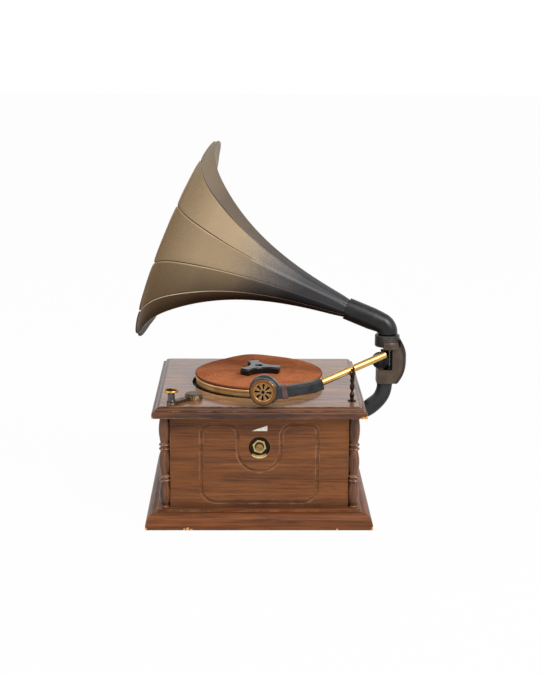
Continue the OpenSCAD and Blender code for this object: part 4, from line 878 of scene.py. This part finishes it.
def horn_paint():
    """Sprayed bronze with painted shade and highlights, with s along the horn's axis: 0.0245 at the
    plug and about 0.18 at the lip.
    """
    paint = Finish("horn_paint", Metallic=0.1)
    wires = {"Vector": paint.place, "Location": horn_foot, "Rotation": horn_frame.to_euler()}
    local = paint.add("Mapping", wires, vector_type="TEXTURE")
    x, y, s = paint.split(local)
    bell = from_axis(paint, local)
    angle = paint.math("ARCTAN2", y, x)
    cloud = paint.noise(paint.place, 28, 4.0, 0.6)
    grain = paint.noise(paint.place, 1300, 3.0, 0.7)
    sprayed = paint.math("MULTIPLY_ADD", grain, 0.020, paint.math("MULTIPLY_ADD", cloud, 0.024, s))

    # bronze at the lip, a painted sheen paler behind it, and rosy towards the throat
    bronze = paint.tint(paint.fade(grain, 0.3, 0.7), srgb(108, 90, 64), srgb(141, 118, 88))
    bronze = paint.tint(paint.fade(s, 0.180, 0.158, 0.0, 0.32), bronze, srgb(196, 172, 140))
    rosy = paint.tint(paint.fade(grain, 0.3, 0.7), srgb(88, 82, 79), srgb(124, 115, 109))
    colour = paint.tint(paint.fade(sprayed, 0.160, 0.120), bronze, rosy)

    # painted shade darkens the underside, most along its lowest petals, and it is duller there
    low_side = paint.math("DIVIDE", x, bell)
    under = paint.fade(low_side, 0.05, -0.85)
    under_shade = paint.times(under, paint.fade(s, 0.178, 0.150, 0.62, 0.95))
    colour = paint.tint(under_shade, colour, srgb(48, 36, 26))
    colour = paint.tint(paint.fade(low_side, -0.80, -0.94, 0.0, 0.55), colour, srgb(40, 30, 22))
    paint.wire("Specular IOR Level", paint.fade(under, 0.5, 1.0, 0.2, 0.03))

    # painted shade on the far side, beyond the top seam
    top_seam = seam_phase + 4 * pi / petals
    far_shade = paint.fade(angle, top_seam - 0.02, top_seam + 0.02)
    far_shade = paint.times(far_shade, paint.fade(s, 0.182, 0.158, 0.24, 0.76))
    colour = paint.tint(far_shade, colour, srgb(54, 44, 38))

    # black paint at the throat, which painted shade makes deeper and carries further out along the
    # underside
    throat_black_and_shade = paint.tint(paint.fade(under, 0.6, 0.1), srgb(22, 21, 23), srgb(48, 48, 51))
    black_reach = paint.math("MULTIPLY_ADD", under, -0.020, sprayed)
    colour = paint.tint(paint.fade(black_reach, 0.142, 0.098), colour, throat_black_and_shade)

    # each seam has a painted highlight on one side and painted shade on the other; off / unit is how
    # many crease widths away it lies, and 40.5 puts the seams at the middle of each step of the phase
    # and keeps it above nought
    phase = paint.math("MULTIPLY_ADD", angle, petals / (2 * pi), 40.5 - seam_phase * petals / (2 * pi))
    side = paint.math("SUBTRACT", paint.math("FRACT", phase), 0.5)
    off = paint.times(side, paint.times(bell, paint.fade(bell, 0.010, 0.045, 4.0, 1.0)))
    unit = crease_w * petals / (2 * pi)
    below = paint.times(paint.fade(off, -1.3 * unit, -0.9 * unit), paint.fade(off, 0.0, -0.3 * unit))
    pale = paint.times(below, paint.fade(sprayed, 0.10, 0.15, 0.35, 0.85))
    pale = paint.times(pale, paint.fade(under, 0.1, 0.45, 0.45, 1.0))
    cream = paint.tint(paint.fade(under, 0.1, 0.6), srgb(204, 180, 142), srgb(255, 236, 204))
    colour = paint.tint(pale, colour, cream)
    above = paint.times(paint.fade(off, -0.3 * unit, 0.0), paint.fade(off, 1.1 * unit, 0.8 * unit))
    seam_shade = paint.times(above, paint.fade(s, 0.10, 0.14, 0.0, 0.85))
    colour = paint.tint(seam_shade, colour, srgb(42, 31, 22))

    paint.wire("Base Color", colour)
    paint.wire("Roughness", paint.fade(sprayed, 0.09, 0.15, 0.34, 0.44))
    paint.relief(grain, 0.00003, 0.5)
    return paint.material


horn = link_piece("horn_bell", horn_bm, horn_paint(), "horn_assembly")
sheet_metal = horn.modifiers.new("sheet_metal", "SOLIDIFY")
sheet_metal.thickness = horn_wall
sheet_metal.offset = -1
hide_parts("horn")


# Arm pivots
# Black castings: a swivel on an upright pin in the bracket's gap, and a round disc on its stub.
# The disc lets the arm lift, and a dark steel screw keeps it on.
pivot_black = lacquer("pivot_black", srgb(12, 11, 11), 0.50, 0.08, 0.2)
dress("pivot_pin", pivot_black)
dress("arm_swivel", pivot_black)
eased("arm_hub", pivot_black, 0.0004)
dress("lift_nut", dark_steel)


# Brass tube
# A drawn and polished brass tube, straight, from the disc to the arm's head section.
# It is pressed into the disc's socket, and the head section's spigot fits in its other end.
def tube_brass():
    brass = Finish("tube_brass", Metallic=1.0)
    drawn = brass.noise(brass.place, 240, 4.0, 0.6)
    colour = brass.tint(brass.fade(drawn, 0.4, 0.75), srgb(206, 166, 100), srgb(188, 142, 76))
    brass.wire("Base Color", colour)
    brass.wire("Roughness", brass.fade(drawn, 0.3, 0.7, 0.20, 0.30))
    return brass.material


dress("tone_tube", tube_brass())


# Head section and band
# A square bar with chamfered top edges, cast and lacquered black, with a spigot in the tube's end.
# A brown band goes round it where it meets the reproducer's neck.
slate = lacquer("slate_lacquer", srgb(30, 31, 32), 0.30, 0.24, 0.4)
eased("arm_section", slate, 0.0003)
eased("arm_band", lacquer("band_brown", srgb(76, 54, 50), 0.40, 0.25, 0.3), 0.0003)


# Reproducer
# A round case in black lacquer, with a pierced face of copper-coloured brass set in its ring.
# The face's edges are rubbed bright, and a dark diaphragm lies behind it.
case_black = lacquer("case_black", srgb(18, 20, 22), 0.20, 0.50, 0.4)


def face_brass():
    brass = Finish("face_brass", Metallic=1.0)
    cloud = brass.noise(brass.place, 240, 4.0, 0.6)
    colour = brass.tint(brass.fade(cloud, 0.35, 0.75), srgb(140, 92, 52), srgb(98, 62, 34))
    brass.wire("Base Color", brass.wash(brass.worn_edge(0.0007), 0.7, colour, srgb(216, 178, 122)))
    brass.wire("Roughness", brass.fade(cloud, 0.3, 0.7, 0.28, 0.42))
    return brass.material


eased("reproducer_case", case_black, 0.0004)
eased("reproducer_face", face_brass(), 0.0003)
dress("diaphragm", black_plastic)


# Works in the cabinet
# A loudspeaker, screwed behind the slots of the back wall, and a lacquered circuit board on legs.
# Four small cells in plain skins lie in a tray of black plastic on the bottom panel.
dress("loudspeaker", black_plastic)
dress("speaker_screws", zinc)
dress("circuit_board", moulded("board_green", srgb(46, 96, 58), 0.4))
dress("battery_box", black_plastic)
dress("battery_cells", moulded("cell_skin", srgb(176, 136, 70), 0.4))
